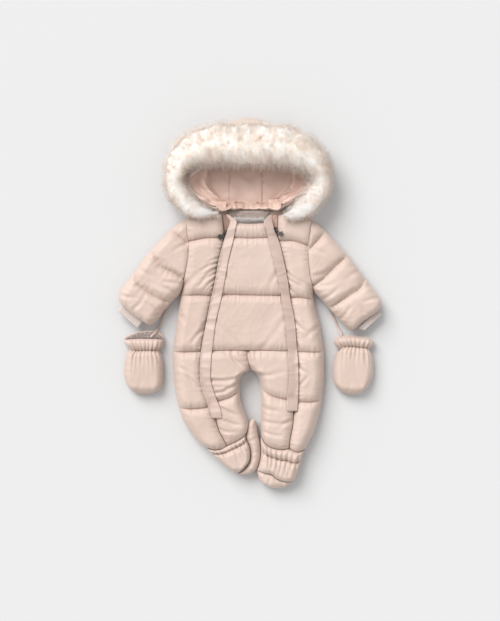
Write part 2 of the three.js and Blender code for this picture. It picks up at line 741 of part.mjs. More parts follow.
// A star on an eye, made in its own frame with the bar along y, then tilted up to lie over the padding
function pull(spec) {
  const eyeHole = barRadius + 0.45;
  const eyeOuter = eyeHole + 1.1;
  const eyeWidth = 3;
  const eye = solidOf(new THREE.CylinderGeometry(eyeOuter, eyeOuter, eyeWidth, 24));
  const hole = solidOf(new THREE.CylinderGeometry(eyeHole, eyeHole, eyeWidth + 2, 24));
  const centre = 10.4;
  const outline = new THREE.Shape(steps(9).map((t) => {
    const angle = Math.PI * 2 * t * 0.9 + Math.PI;
    const radius = Math.round(t * 9) % 2 ? 4.4 : 8;
    return new THREE.Vector2(centre + radius * Math.cos(angle), radius * Math.sin(angle));
  }));
  const star = new THREE.ExtrudeGeometry(outline, {
    depth: 1, bevelEnabled: true, bevelThickness: 0.6, bevelSize: 0.5, bevelOffset: -0.5, bevelSegments: 1 });
  star.translate(0, 0, -1.1);
  const tilt = new THREE.Matrix4().makeRotationY(-pullTilt);
  const whole = eye.add(solidOf(star)).subtract(hole);
  const made = geometryOf(whole);
  return placed(made, new THREE.Matrix4().multiplyMatrices(pullFrame(spec), tilt));
}

const sliders = Object.fromEntries(Object.entries(pulls).map(([side, spec]) => [
  side, addPiece(`zip_slider_${side}`, slider(spec), materials.metal)]));
for (const [side, spec] of Object.entries(pulls)) addPiece(`zip_pull_${side}`, pull(spec), materials.metal);

const placketRows = {
  left: [
    [197, -52.5, -50], [190, -48.5, -38.5], [182, -44, -29], [161, -50, -32], [140, -57, -36], [95, -69, -47],
    [50, -77, -55], [5, -87, -64], [-41, -96, -75], [-86, -105, -81], [-131, -111, -86], [-176, -111, -87],
    [-198, -106, -81], [-221, -98, -73], [-243, -90, -64], [-261, -84, -62]],
  right: [
    [194, 42, 45.5], [188, 37, 49], [182, 32, 51], [161, 37, 56], [140, 43, 65], [95, 53, 76.5],
    [50, 64, 85.5],
    [5, 72, 92], [-41, 79, 101], [-86, 84, 105], [-131, 87, 109], [-176, 88, 110], [-221, 84, 109],
    [-245, 84, 107]],
};
const placketThickness = 2;
const placketClear = 1.5;
for (const [side, edges] of Object.entries(placketRows)) {
  const under = [...Object.values(front), zipMeshes[side], sliders[side]];
  const geometry = laidStrip({ edges, under, thickness: placketThickness, floor: 28 });
  addPiece(`placket_${side}`, geometry, materials.shell);
}

// Neck linings
const neckLining = patch({
  left: curve([[-50, 206], [-44.5, 200], [-38, 188.5]]),
  right: curve([[50, 206], [44.5, 200], [36, 188.5]]),
  top: curve([[-50, 206], [0, 205.6], [50, 206]]),
  bottom: curve([[-38, 188.5], [0, 188], [36, 188.5]]),
});
const plainCreases = (depth, round) => ({
  left: crease(depth, round),
  right: crease(depth, round),
  top: crease(depth, round),
  bottom: crease(depth, round),
});
addPiece('back_neck_lining', paddedPanel({
  plan: neckLining, creases: plainCreases(0.5, 4), columns: steps(6), perChannel: 4,
  flat: backLoft + seamGap, loft: 3.4,
}), materials.fleece);
addPiece('front_neck_lining', paddedPanel({
  plan: patch({
    left: curve([[-35, 187.4], [-35.5, 184], [-36, 181.6]]),
    right: curve([[33, 187.4], [36, 184], [38, 181.6]]),
    top: curve([[-35, 187.4], [0, 186.6], [33, 187.4]]),
    bottom: curve([[-36, 181.6], [-18, 179.6], [1, 178.7], [24, 179.6], [38, 181.6]]),
  }),
  creases: plainCreases(0.6, 3), columns: steps(14), perChannel: 3, flat: backLoft + seamGap, loft: 15,
}), materials.fleece);

// Hood. Each row: the angle round its middle, the radius on the ground, at the fullest part and at the rim,
// and the height of the rim.
const hoodMiddle = [1, 270];
const hoodForm = [
  { angle: -90, ground: 46, belly: 56, rim: 62.4, height: 11 },
  { angle: -72, ground: 49, belly: 59, rim: 65.4, height: 17 },
  { angle: -55, ground: 56, belly: 68, rim: 76, height: 27 },
  { angle: -45, ground: 60, belly: 78, rim: 92, height: 37 },
  { angle: -22, ground: 72, belly: 112, rim: 104, height: 48 },
  { angle: -5, ground: 84, belly: 142, rim: 131, height: 48 },
  { angle: 13, ground: 90, belly: 147, rim: 111, height: 58 },
  { angle: 34, ground: 94, belly: 146, rim: 76, height: 66 },
  { angle: 50, ground: 97, belly: 146, rim: 60, height: 67 },
  { angle: 71, ground: 99, belly: 160, rim: 51, height: 68 },
  { angle: 90, ground: 100, belly: 168, rim: 47, height: 68 },
  { angle: 111, ground: 99, belly: 166, rim: 51, height: 68 },
  { angle: 130, ground: 97, belly: 147, rim: 60, height: 67 },
  { angle: 146, ground: 94, belly: 146, rim: 76, height: 66 },
  { angle: 166, ground: 90, belly: 149, rim: 116, height: 58 },
  { angle: 182, ground: 84, belly: 152, rim: 144, height: 48 },
  { angle: 205, ground: 74, belly: 120, rim: 112, height: 48 },
  { angle: 225, ground: 60, belly: 78, rim: 94, height: 37 },
  { angle: 235, ground: 56, belly: 68, rim: 76, height: 27 },
  { angle: 252, ground: 49, belly: 59, rim: 65.4, height: 17 },
  { angle: 270, ground: 46, belly: 56, rim: 62.4, height: 11 },
];
const hoodLayers = { shell: 6, gap: 2, lining: 3 };

function hoodAt(angle) {
  const k = hoodForm.findIndex((row) => row.angle >= angle);
  const after = hoodForm[Math.max(k, 1)];
  const before = hoodForm[Math.max(k, 1) - 1];
  const t = (angle - before.angle) / (after.angle - before.angle);
  const soft = mix(t, t * t * (3 - 2 * t), 0.5);
  return Object.fromEntries(Object.keys(before).map((key) => [key, mix(before[key], after[key], soft)]));
}

// The hood's section at one angle: from the ground, out to the belly and up to the rim. Radius and height.
function hoodSection(angle, inset) {
  const { ground, belly, rim, height } = hoodAt(angle);
  const control = [[ground, 0], [mix(ground, belly, 1.02), 0], [belly * 1.05, height * 0.95], [rim, height]];
  const at = (t) => [0, 1].map((i) => (
    (1 - t) ** 3 * control[0][i] + 3 * (1 - t) ** 2 * t * control[1][i]
    + 3 * (1 - t) * t ** 2 * control[2][i] + t ** 3 * control[3][i]));
  return steps(5).map((t) => {
    const [r, z] = at(t);
    const [a, b] = [at(Math.max(0, t - 0.01)), at(Math.min(1, t + 0.01))];
    const length = Math.hypot(b[0] - a[0], b[1] - a[1]);
    const inward = t === 0 ? [0, 1] : [(a[1] - b[1]) / length, (b[0] - a[0]) / length];
    return [r + inward[0] * inset, Math.max(z + inward[1] * inset, inset)];
  });
}

const hoodAngles = steps(32).slice(0, -1).map((t) => -90 + 360 * t);
function bowlSurface(shell, inset, up) {
  const rings = steps(5).map((t, k) => hoodAngles.map((angle) => {
    const [r, z] = hoodSection(angle, inset)[k];
    const turn = THREE.MathUtils.degToRad(angle);
    return shell.point(hoodMiddle[0] + r * Math.cos(turn), hoodMiddle[1] + r * Math.sin(turn), z);
  }));
  const hub = shell.point(...hoodMiddle, inset);
  rings[0].forEach((a, i) => {
    const b = rings[0][(i + 1) % rings[0].length];
    if (up) shell.faces.push(a, b, hub);
    else shell.faces.push(b, a, hub);
  });
  for (let k = 0; k < rings.length - 1; k += 1) {
    if (up) shell.join(rings[k + 1], rings[k], true);
    else shell.join(rings[k], rings[k + 1], true);
  }
  return rings.at(-1);
}

function bowl(outerInset, innerInset) {
  const shell = new Shell();
  const outerRim = bowlSurface(shell, outerInset, false);
  const innerRim = bowlSurface(shell, innerInset, true);
  shell.join(outerRim, innerRim, true);
  return solidOf(facingOut(shell.geometry()));
}

// The whole room the hood takes up, for fitting the fur round it
function hoodRoom(outerInset) {
  const shell = new Shell();
  const rim = bowlSurface(shell, outerInset, false);
  const hub = shell.point(...hoodMiddle, 50);
  rim.forEach((a, i) => shell.faces.push(a, rim[(i + 1) % rim.length], hub));
  return solidOf(facingOut(shell.geometry()));
}

const hoodSeams = { left: -46, right: 28 };
const hoodParts = [
  { name: 'side_left', from: -400, to: hoodSeams.left - half },
  { name: 'centre', from: hoodSeams.left + half, to: hoodSeams.right - half },
  { name: 'side_right', from: hoodSeams.right + half, to: 400 },
];
const hoodShell = bowl(0, hoodLayers.shell);
const liningFrom = hoodLayers.shell + hoodLayers.gap;
const hoodLining = bowl(liningFrom, liningFrom + hoodLayers.lining);
for (const { name, from, to } of hoodParts) {
  const slice = boxSolid([from, 0, -10], [to, 600, 200]);
  addPiece(`hood_${name}`, geometryOf(hoodShell.intersect(slice)), materials.shell);
  addPiece(`hood_lining_${name}`, geometryOf(hoodLining.intersect(slice)), materials.lining);
}

// Bootees. Each has a sole that lies on the surface, a vamp gathered at the ankle and a band round the toe.
const ankleGap = 1.4;
const pleats = ({ count, height, from, to }) => (s, v) => {
  const share = clamp((v - from) / (to - from));
  return height * Math.sin(Math.PI * share) * Math.cos(2 * Math.PI * count * s);
};
const bootSeams = {
  left: curve([
    [-8.3, -297.2], [-8.7, -306], [-0.8, -326], [1.2, -344], [-1.8, -360], [-9.8, -371.2], [-23.5, -384.6]]),
  right: curve([[17, -380], [34, -385], [51, -389], [60, -397], [73, -403], [87, -405], [100, -403.5]]),
};
const bootHems = {
  left: beside(seams.hemLeft, ankleGap),
  right: beside(seams.hemRight, ankleGap),
};
const bootLeftOuter = [[-97, -330], [-93, -334.5], [-78, -349], [-62, -364], [-46, -376], [-37, -382.5]];
const bootLeftHeel = [
  [12, -265], [15.5, -277], [19, -297], [24, -322], [25, -346], [22.5, -360], [15, -378], [6, -385.5],
  [-8, -389]];
const bootRightInner = [[25.4, -304.6], [25, -315], [26, -344], [21, -369], [17, -380]];
const bootRightOuter = [[125.6, -333.6], [120, -344], [116, -360], [111, -378], [105, -394], [100, -403.5]];
const toe = {
  left: [[21, -396], [30, -409], [42, -416]],
  middle: [[42, -416], [55, -420], [71, -420], [84, -416]],
  right: [[96, -407], [90.5, -412], [84, -416]],
};
const bootPieces = [
  {
    name: 'boot_sole_left',
    edges: {
      left: curve([...bootLeftOuter, [-24, -388]]),
      right: curve([[-1.3, -272], [5, -264.5], ...bootLeftHeel]),
      top: bootHems.left,
      bottom: curve([[-24, -388], [-16, -389.6], [-8, -389]]),
    },
    flat: backLoft, loft: -backLoft, edge: 0.55,
  },
  {
    name: 'boot_sole_right',
    edges: {
      left: curve([...bootRightInner, ...toe.left]),
      right: curve([...bootRightOuter, ...toe.right]),
      top: bootHems.right,
      bottom: curve(toe.middle),
    },
    flat: backLoft, loft: -backLoft, edge: 0.55,
  },
  {
    name: 'boot_band_left',
    edges: {
      left: curve([
        [-0.8, -272], [-4.4, -290.5], [-6.5, -297.2], [-6.9, -306], [1.7, -326], [4.1, -344], [1, -361.4],
        [-7.6, -373.2], [-22.2, -386.1], [-28, -387.9]]),
      right: curve([[5, -264.5], ...bootLeftHeel, [-23, -388.6]]),
      top: curve([[-0.8, -272], [2, -268], [5, -264.5]]),
      bottom: curve([[-28, -387.9], [-25.5, -388.3], [-23, -388.6]]),
    },
    flat: backLoft + seamGap, loft: 17, edge: 0.8,
  },
  {
    name: 'boot_band_right',
    edges: {
      left: curve([[17.2, -381], ...toe.left]),
      right: curve([[99.6, -404.6], ...toe.right]),
      top: beside(bootSeams.right, 1.5),
      bottom: curve(toe.middle),
    },
    flat: backLoft + seamGap, loft: 16, edge: 0.8,
  },
  {
    name: 'boot_vamp_left',
    edges: {
      left: curve([...bootLeftOuter, [-28.5, -386.6]]),
      right: beside(bootSeams.left, 0),
      top: part(bootHems.left, 0, shareWhere(bootHems.left, ([x]) => x > -9)),
      bottom: curve([[-28.5, -386.6], [-26, -385.9], [-23.5, -384.6]]),
    },
    flat: backLoft + seamGap, loft: 26, edge: 0.7, gathers: { at: 0.15, count: 9 },
  },
  {
    name: 'boot_vamp_right',
    edges: {
      left: curve(bootRightInner),
      right: curve(bootRightOuter),
      top: bootHems.right,
      bottom: bootSeams.right,
    },
    flat: backLoft + seamGap, loft: 26, edge: 0.7, gathers: { at: 0.36, count: 8 },
  },
];
for (const { name, edge, gathers, ...spec } of bootPieces) {
  const creases = plainCreases(edge, 16);
  const rows = gathers ? [{ left: gathers.at, right: gathers.at, depth: 0.4, round: 14 }] : [];
  const geometry = paddedPanel({
    ...spec,
    plan: patch(spec.edges),
    creases: { ...creases, top: gathers ? crease(0.35, 10) : crease(edge * 0.5, 12) },
    rows,
    columns: gathers ? steps(gathers.count * 2) : steps(8),
    perChannel: gathers ? [2, 4] : 6,
    wave: gathers && pleats({ count: gathers.count, height: 1.8, from: 0, to: gathers.at * 2 }),
  });
  addPiece(name, geometry, materials.shell);
}

// Mittens: a back that lies on the surface, a front over it, and the fleece that shows at the mouth
const mittenBackLoft = 14;
const mittenForms = {
  left: {
    mouth: [
      [-283, -81], [-273, -74], [-260, -70], [-246, -66], [-231, -65], [-219, -65], [-210, -66], [-201, -70],
      [-193.5, -81]],
    frontMouth: [[-283, -85], [-260, -83.4], [-240, -82.8], [-215, -83.4], [-194, -85]],
    sideA: [
      [-282, -94], [-271, -109], [-278, -117], [-281, -130], [-283.5, -148], [-283.5, -164], [-280, -180],
      [-276, -189], [-269, -198]],
    sideB: [
      [-195, -92], [-197, -99], [-205, -109], [-199, -121], [-196, -135], [-195, -157], [-196, -180],
      [-199, -193], [-206, -200]],
    tip: [[-269, -198], [-260, -204], [-246, -207], [-231, -207.5], [-217, -205], [-206, -200]],
  },
  right: {
    mouth: [
      [190, -89], [199, -78.5], [208, -76.5], [226, -75], [240, -76.3], [253, -78], [267, -79.5], [282, -89]],
    frontMouth: [[190.3, -90.5], [199, -81], [226, -77.5], [253, -80.5], [267, -82], [281.5, -90.5]],
    sideA: [
      [195, -99], [204, -108], [197, -115], [192, -126], [189, -142], [188, -157], [189, -175], [192, -184],
      [199, -196]],
    sideB: [
      [280, -97], [271, -108], [273, -112], [278, -124], [280, -139], [280, -157], [276, -175], [269, -189],
      [260, -200]],
    tip: [[199, -196], [206, -202], [217, -207], [233, -209], [249, -207], [260, -200]],
  },
};
const wristY = -109;
for (const [side, form] of Object.entries(mittenForms)) {
  const walls = [
    { name: 'back', mouth: form.mouth, flat: mittenBackLoft, loft: -mittenBackLoft, edge: 0.6, ripple: 0 },
    { name: 'front', mouth: form.frontMouth, flat: mittenBackLoft + seamGap, loft: 21, edge: 0.88, ripple: 1.7 },
  ];
  for (const { name, mouth, flat, loft, edge, ripple } of walls) {
    const edges = {
      left: curve([mouth[0], ...form.sideA]),
      right: curve([mouth.at(-1), ...form.sideB]),
      top: curve(mouth),
      bottom: curve(form.tip),
    };
    const rows = rowShares([{ left: wristY, right: wristY, depth: 0.45, round: 15 }], edges.left, edges.right);
    const geometry = paddedPanel({
      plan: patch(edges), creases: { ...plainCreases(edge, 17), top: crease(0.6, 10) }, rows,
      columns: steps(name === 'front' ? 20 : 6), perChannel: [2, 4], flat, loft,
      wave: pleats({ count: 10, height: ripple, from: 0, to: rows[0].left * 2 }),
    });
    addPiece(`mitten_${name}_${side}`, geometry, materials.shell);
  }
}
addPiece('mitten_lining_left', paddedPanel({
  plan: patch({
    left: curve([[-279, -80.5], [-280, -82.6], [-281, -84.4]]),
    right: curve([[-196.5, -80.5], [-196, -82.6], [-195.6, -84.4]]),
    top: curve([[-279, -80.5], [-260, -72.5], [-246, -68.5], [-231, -67.5], [-212, -68.5], [-196.5, -80.5]]),
    bottom: curve([[-281, -84.4], [-260, -82.9], [-240, -82.2], [-215, -82.9], [-195.6, -84.4]]),
  }),
  creases: plainCreases(0.6, 4), columns: steps(14), perChannel: 4, flat: mittenBackLoft + seamGap, loft: 5,
}), materials.fleece);

// Flat cords that hold the mittens to the sleeves: x, y and height of the middle
const cordWidth = 5;
const cordThickness = 1.6;
const cordPaths = {
  left: [
    [-183, -9, 10], [-194, -29, 2.8], [-201, -45, 2.5], [-206, -57, 6], [-209.5, -63, 15.5], [-216, -72, 21.4],
    [-224, -79, 22]],
  right: [[181, -16, 9.4], [188, -29, 2.8], [195, -45, 2.5], [201, -60, 4], [206, -70, 11], [208, -75.9, 14.2]],
};
function ribbon(points) {
  const path = curve(points);
  const rings = steps(20).map((t) => {
    const a = path(Math.max(0, t - 0.01));
    const b = path(Math.min(1, t + 0.01));
    const length = Math.hypot(b[0] - a[0], b[1] - a[1]);
    const side = [(b[1] - a[1]) / length, -(b[0] - a[0]) / length];
    const [x, y, z] = path(t);
    const corners = [[-1, -1], [1, -1], [1, 1], [-1, 1]];
    return corners.map(([u, w]) => [
      x + side[0] * u * cordWidth / 2, y + side[1] * u * cordWidth / 2, z + w * cordThickness / 2]);
  });
  return facingOut(tube(rings));
}
for (const [side, points] of Object.entries(cordPaths)) {
  addPiece(`mitten_cord_${side}`, ribbon(points), materials.shell);
}

// Fur round the hood. Each row: x, y, half its width, height of its middle, reach up and down.
const furPath = [
  [-70, 198, 7, 60, 8], [-92, 200, 14, 62, 11], [-121, 206, 23, 63, 15], [-148, 229, 28, 60, 20],
  [-164, 254, 28, 54, 25], [-168, 279, 26, 50, 30], [-156, 313, 34, 54, 32], [-123, 340, 45, 60, 33],
  [-78, 350, 51, 66, 33], [1, 351, 52, 68, 32], [75, 347, 51, 66, 33], [120, 330, 45, 60, 33],
  [152, 301, 34, 54, 32], [160, 270, 29, 50, 28], [148, 240, 29, 56, 23], [123, 213, 27, 62, 16],
  [95, 196, 18, 62, 11], [76, 194, 9, 60, 8]];
function furRoll() {
  const path = curve(furPath.map(([x, y]) => [x, y]));
  const size = new THREE.CatmullRomCurve3(furPath.map(([, , w, z, h]) => new THREE.Vector3(w, z, h)));
  const shares = furPath.map(([x, y]) => {
    const near = steps(400).map((t) => [t, Math.hypot(path(t)[0] - x, path(t)[1] - y)]);
    return near.sort((a, b) => a[1] - b[1])[0][0];
  });
  const sizeAt = (t) => {
    const k = clamp(shares.findIndex((share) => share >= t), 1, shares.length - 1);
    const inside = clamp((t - shares[k - 1]) / (shares[k] - shares[k - 1]));
    return size.getPoint((k - 1 + inside) / (shares.length - 1)).toArray();
  };
  const rings = steps(32).map((t) => {
    const place = mix(0.004, 0.996, t);
    const [width, middle, reach] = sizeAt(place);
    const round = Math.sqrt(Math.min(1, 0.25 + 0.75 * rise(Math.min(t, 1 - t), 0.06)));
    return steps(13).slice(0, -1).map((turn) => {
      const angle = turn * Math.PI * 2;
      const tuft = 1 + 0.02 * Math.sin(7 * angle + 41 * t);
      const [x, y] = beside(path, width * round * tuft * Math.cos(angle))(place);
      return [x, y, middle + reach * round * Math.sin(angle)];
    });
  });
  return solidOf(facingOut(tube(rings)));
}
addPiece('hood_fur', geometryOf(furRoll().subtract(hoodRoom(-0.4))), materials.fur);

export default suit;
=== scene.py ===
# A padded baby snowsuit laid out flat, dressed over its CAD frame.
# Places and sizes are in millimetres here and turn into metres where a mesh is made.
# Left and right are as seen from above with the hood at the top.
import json
import math

import bmesh
import bpy
import numpy as np
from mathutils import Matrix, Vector
from mathutils.bvhtree import BVHTree

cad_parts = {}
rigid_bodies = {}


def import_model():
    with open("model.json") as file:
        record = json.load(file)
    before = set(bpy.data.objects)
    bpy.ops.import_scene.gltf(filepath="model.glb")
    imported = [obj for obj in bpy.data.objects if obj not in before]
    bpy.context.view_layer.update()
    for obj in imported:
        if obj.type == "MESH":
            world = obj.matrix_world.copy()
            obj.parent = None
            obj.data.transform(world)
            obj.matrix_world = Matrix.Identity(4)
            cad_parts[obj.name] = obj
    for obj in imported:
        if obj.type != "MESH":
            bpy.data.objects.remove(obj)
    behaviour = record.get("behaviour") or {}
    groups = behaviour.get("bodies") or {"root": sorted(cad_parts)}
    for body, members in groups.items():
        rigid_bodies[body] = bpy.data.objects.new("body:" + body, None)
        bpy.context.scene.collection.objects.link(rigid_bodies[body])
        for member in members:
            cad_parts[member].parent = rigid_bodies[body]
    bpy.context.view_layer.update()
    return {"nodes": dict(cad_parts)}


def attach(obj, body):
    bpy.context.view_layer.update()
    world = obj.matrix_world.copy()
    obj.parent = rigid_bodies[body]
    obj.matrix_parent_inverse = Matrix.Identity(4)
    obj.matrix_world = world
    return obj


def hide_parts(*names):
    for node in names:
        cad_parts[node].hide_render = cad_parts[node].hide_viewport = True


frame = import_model()
mm = 0.001

# Camera straight above, as in the photograph: one pixel of the picture is 2.25 mm on the suit
view = {"millimetresPerPixel": 2.25, "picture": (500, 621), "middle": (1.1, -19.1), "height": 4200,
    "suitHeight": 34}
cameraData = bpy.data.cameras.new("camera")
camera = bpy.data.objects.new("camera", cameraData)
bpy.context.scene.collection.objects.link(camera)
bpy.context.scene.camera = camera
camera.location = (view["middle"][0] * mm, view["middle"][1] * mm, view["height"] * mm)
cameraData.sensor_width = 36
pictureHeight = view["picture"][1] * view["millimetresPerPixel"]
cameraData.lens = 36 * (view["height"] - view["suitHeight"]) / pictureHeight
cameraData.clip_end = 50


# Small maths

def rise(distance, radius):
    near = 1 - np.clip(np.asarray(distance) / radius, 0, 1)
    return 0.45 * np.sqrt(1 - near ** 2) + 0.55 * (1 - near ** 2)


def fade(x, start, end):
    t = np.clip((np.asarray(x, float) - start) / (end - start), 0, 1)
    return t * t * (3 - 2 * t)


# A smooth line through points, as 401 points at equal steps along it
def smoothLine(points):
    p = np.array([tuple(q) for q in points], float)
    p = np.vstack([2 * p[0] - p[1], p, 2 * p[-1] - p[-2]])
    fine = []
    t = np.linspace(0, 1, 40, endpoint=False)[:, None]
    for a, b, c, d in zip(p, p[1:], p[2:], p[3:]):
        before, inside, after = (max(np.linalg.norm(v) ** 0.5, 1e-4) for v in (b - a, c - b, d - c))
        startPull = ((b - a) / before - (c - a) / (before + inside) + (c - b) / inside) * inside
        endPull = ((c - b) / inside - (d - b) / (inside + after) + (d - c) / after) * inside
        fine.append(b + startPull * t + (3 * (c - b) - 2 * startPull - endPull) * t ** 2
                    + (2 * (b - c) + startPull + endPull) * t ** 3)
    return evenSteps(np.vstack([*fine, p[-2:-1]]), 401)


def evenSteps(line, count):
    lengths = np.concatenate([[0], np.cumsum(np.linalg.norm(np.diff(line, axis=0), axis=1))])
    places = np.linspace(0, lengths[-1], count)
    return np.stack([np.interp(places, lengths, line[:, k]) for k in range(line.shape[1])], axis=1)


def at(line, share):
    place = np.clip(share, 0, 1) * (len(line) - 1)
    return np.stack([np.interp(place, np.arange(len(line)), line[:, k]) for k in range(line.shape[1])],
        axis=-1)


def part(line, start, end):
    return evenSteps(at(line, np.linspace(start, end, 401)), 401)


def shareAt(line, y):
    return float(np.argmax(line[:, 1] <= y)) / (len(line) - 1) if (line[:, 1] <= y).any() else 1.0


def shareWhereX(line, x):
    return float(np.argmax(line[:, 0] > x)) / (len(line) - 1)


def between(line, top, bottom):
    return part(line, shareAt(line, top), shareAt(line, bottom))


# The line moved sideways: to the right of its own direction if the distance is positive
def beside(line, distance):
    along = np.gradient(line[:, :2], axis=0)
    along /= np.linalg.norm(along, axis=1, keepdims=True)
    moved = line.copy()
    moved[:, 0] += along[:, 1] * distance
    moved[:, 1] -= along[:, 0] * distance
    return moved


# Signed distance of places from a line, positive to the right of its direction, and how far along they are
def offLine(line, x, y):
    points = line[::8, :2]
    flat = np.stack([np.ravel(x), np.ravel(y)], axis=1)
    best = np.full(len(flat), 1e9)
    signed = np.zeros(len(flat))
    along = np.zeros(len(flat))
    travelled = 0
    for a, b in zip(points, points[1:]):
        step = b - a
        length = np.linalg.norm(step)
        t = np.clip((flat - a) @ step / length ** 2, 0, 1)
        gap = flat - a - t[:, None] * step
        distance = np.linalg.norm(gap, axis=1)
        side = np.sign((flat - a)[:, 0] * step[1] - (flat - a)[:, 1] * step[0])
        closer = distance < best
        best = np.where(closer, distance, best)
        signed = np.where(closer, distance * side, signed)
        along = np.where(closer, travelled + t * length, along)
        travelled += length
    return signed.reshape(np.shape(x)), along.reshape(np.shape(x))


# A flat patch between four lines. The sides run from top to bottom, the others from left to right.
def patch(edges, s, v):
    left, right = at(edges["left"], v)[..., :2], at(edges["right"], v)[..., :2]
    top, bottom = at(edges["top"], s)[..., :2], at(edges["bottom"], s)[..., :2]
    s, v = s[..., None], v[..., None]
    a, b = edges["left"][0, :2], edges["right"][0, :2]
    c, d = edges["left"][-1, :2], edges["right"][-1, :2]
    top = top + (a - edges["top"][0, :2]) * (1 - s) + (b - edges["top"][-1, :2]) * s
    bottom = bottom + (c - edges["bottom"][0, :2]) * (1 - s) + (d - edges["bottom"][-1, :2]) * s
    corners = (a * (1 - s) + b * s) * (1 - v) + (c * (1 - s) + d * s) * v
    return left * (1 - s) + right * s + top * (1 - v) + bottom * v - corners


# Smooth random heights, from -1 to 1, made of crossing waves
def unevenness(x, y, size, seed, waves=16):
    chance = np.random.default_rng(seed)
    total = np.zeros_like(x)
    for _ in range(waves):
        turn = chance.uniform(0, 2 * math.pi)
        length = size * chance.uniform(0.7, 1.6)
        phase = chance.uniform(0, 2 * math.pi)
        total += np.sin((x * math.cos(turn) + y * math.sin(turn)) * 2 * math.pi / length + phase)
    return total / math.sqrt(waves) / 1.4


# Meshes and objects

def link(name, mesh):
    piece = bpy.data.objects.new(name, mesh)
    bpy.context.scene.collection.objects.link(piece)
    return piece


# flat: a range of faces that stay flat, so that the edges beside them are crisp
def meshOf(name, points, faces, flat=()):
    mesh = bpy.data.meshes.new(name)
    mesh.from_pydata((np.asarray(points) * mm).tolist(), [], faces)
    smooth = np.ones(len(faces), dtype=bool)
    smooth[list(flat)] = False
    mesh.polygons.foreach_set("use_smooth", smooth)
    mesh.validate()
    return mesh


def finishPiece(piece, material, body, nodes=()):
    if material:
        piece.data.materials.clear()
        piece.data.materials.append(material)
    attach(piece, body)
    if nodes:
        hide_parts(*nodes)
    return piece


def faceOut(mesh):
    work = bmesh.new()
    work.from_mesh(mesh)
    bmesh.ops.remove_doubles(work, verts=work.verts, dist=1e-6)
    bmesh.ops.recalc_face_normals(work, faces=work.faces)
    work.to_mesh(mesh)
    work.free()
    return mesh


# A closed shell from a grid of points over a flat or curved underside
def shellOf(name, upper, lower):
    rows, columns = upper.shape[:2]
    points = np.vstack([upper.reshape(-1, 3), lower.reshape(-1, 3)])
    index = np.arange(rows * columns).reshape(rows, columns)
    a, b, c, d = index[:-1, :-1], index[:-1, 1:], index[1:, 1:], index[1:, :-1]
    faces = np.stack([a, d, c, b], axis=-1).reshape(-1, 4).tolist()
    under = index + rows * columns
    a, b, c, d = under[:-1, :-1], under[:-1, 1:], under[1:, 1:], under[1:, :-1]
    faces += np.stack([a, b, c, d], axis=-1).reshape(-1, 4).tolist()
    rim = np.concatenate([index[0], index[1:-1, -1], index[-1, ::-1], index[1:-1, 0][::-1]])
    foot = rim + rows * columns
    wall = range(len(faces), len(faces) + len(rim))
    faces += np.stack([rim, np.roll(rim, -1), np.roll(foot, -1), foot], axis=-1).tolist()
    return faceOut(meshOf(name, points, faces, wall))


# A tube from rings of points, closed at both ends
def tubeOf(name, rings):
    rings = np.asarray(rings)
    rows, columns = rings.shape[:2]
    index = np.arange(rows * columns).reshape(rows, columns)
    nextOne = np.roll(index, -1, axis=1)
    faces = np.stack([index[:-1], nextOne[:-1], nextOne[1:], index[1:]], axis=-1).reshape(-1, 4).tolist()
    faces += [index[0].tolist(), index[-1].tolist()]
    return faceOut(meshOf(name, rings.reshape(-1, 3), faces))


# Materials

def newMaterial(name):
    material = bpy.data.materials.new(name)
    material.use_nodes = True
    tree = material.node_tree
    return material, tree, tree.nodes["Principled BSDF"]


def node(tree, kind, **settings):
    made = tree.nodes.new(kind)
    for key, value in settings.items():
        if key in made.inputs:
            made.inputs[key].default_value = value
        else:
            setattr(made, key, value)
    return made


def colourRamp(tree, source, stops):
    ramp = tree.nodes.new("ShaderNodeValToRGB")
    for index, (place, colour) in enumerate(stops):
        stop = ramp.color_ramp.elements[index] if index < 2 else ramp.color_ramp.elements.new(place)
        stop.position = place
        stop.color = (*colour, 1)
    tree.links.new(source, ramp.inputs["Fac"])
    return ramp.outputs["Color"]


def bumpOf(tree, height, strength, distance, before=None):
    bump = node(tree, "ShaderNodeBump", Strength=strength, Distance=distance)
    tree.links.new(height, bump.inputs["Height"])
    if before:
        tree.links.new(before, bump.inputs["Normal"])
    return bump.outputs["Normal"]


# Padded nylon and satin: a soft sheen, fine crinkles and a weave too small to see from afar
def clothMaterial(look):
    material, tree, shader = newMaterial(look["name"])
    place = tree.nodes.new("ShaderNodeTexCoord").outputs["Object"]
    patches = node(tree, "ShaderNodeTexNoise", Scale=look["patchScale"], Detail=3)
    crinkle = node(tree, "ShaderNodeTexNoise", Scale=look["crinkleScale"], Detail=5, Distortion=0.6)
    tree.links.new(place, patches.inputs["Vector"])
    tree.links.new(place, crinkle.inputs["Vector"])
    colour = colourRamp(tree, patches.outputs["Fac"], [(0.3, look["dark"]), (0.7, look["light"])])
    tree.links.new(colour, shader.inputs["Base Color"])
    weave = []
    for axis in ("X", "Y"):
        threads = node(tree, "ShaderNodeTexWave", Scale=look["threads"], bands_direction=axis)
        tree.links.new(place, threads.inputs["Vector"])
        weave.append(threads.outputs["Fac"])
    crossing = node(tree, "ShaderNodeMath", operation="MULTIPLY")
    tree.links.new(weave[0], crossing.inputs[0])
    tree.links.new(weave[1], crossing.inputs[1])
    fine = bumpOf(tree, crossing.outputs["Value"], look["weaveStrength"], 0.00008)
    normal = bumpOf(tree, crinkle.outputs["Fac"], look["crinkleStrength"], 0.0006, fine)
    tree.links.new(normal, shader.inputs["Normal"])
    shader.inputs["Roughness"].default_value = look["roughness"]
    shader.inputs["Sheen Weight"].default_value = look["sheen"]
    shader.inputs["Sheen Roughness"].default_value = 0.4
    shader.inputs["Specular IOR Level"].default_value = look["gloss"]
    return material


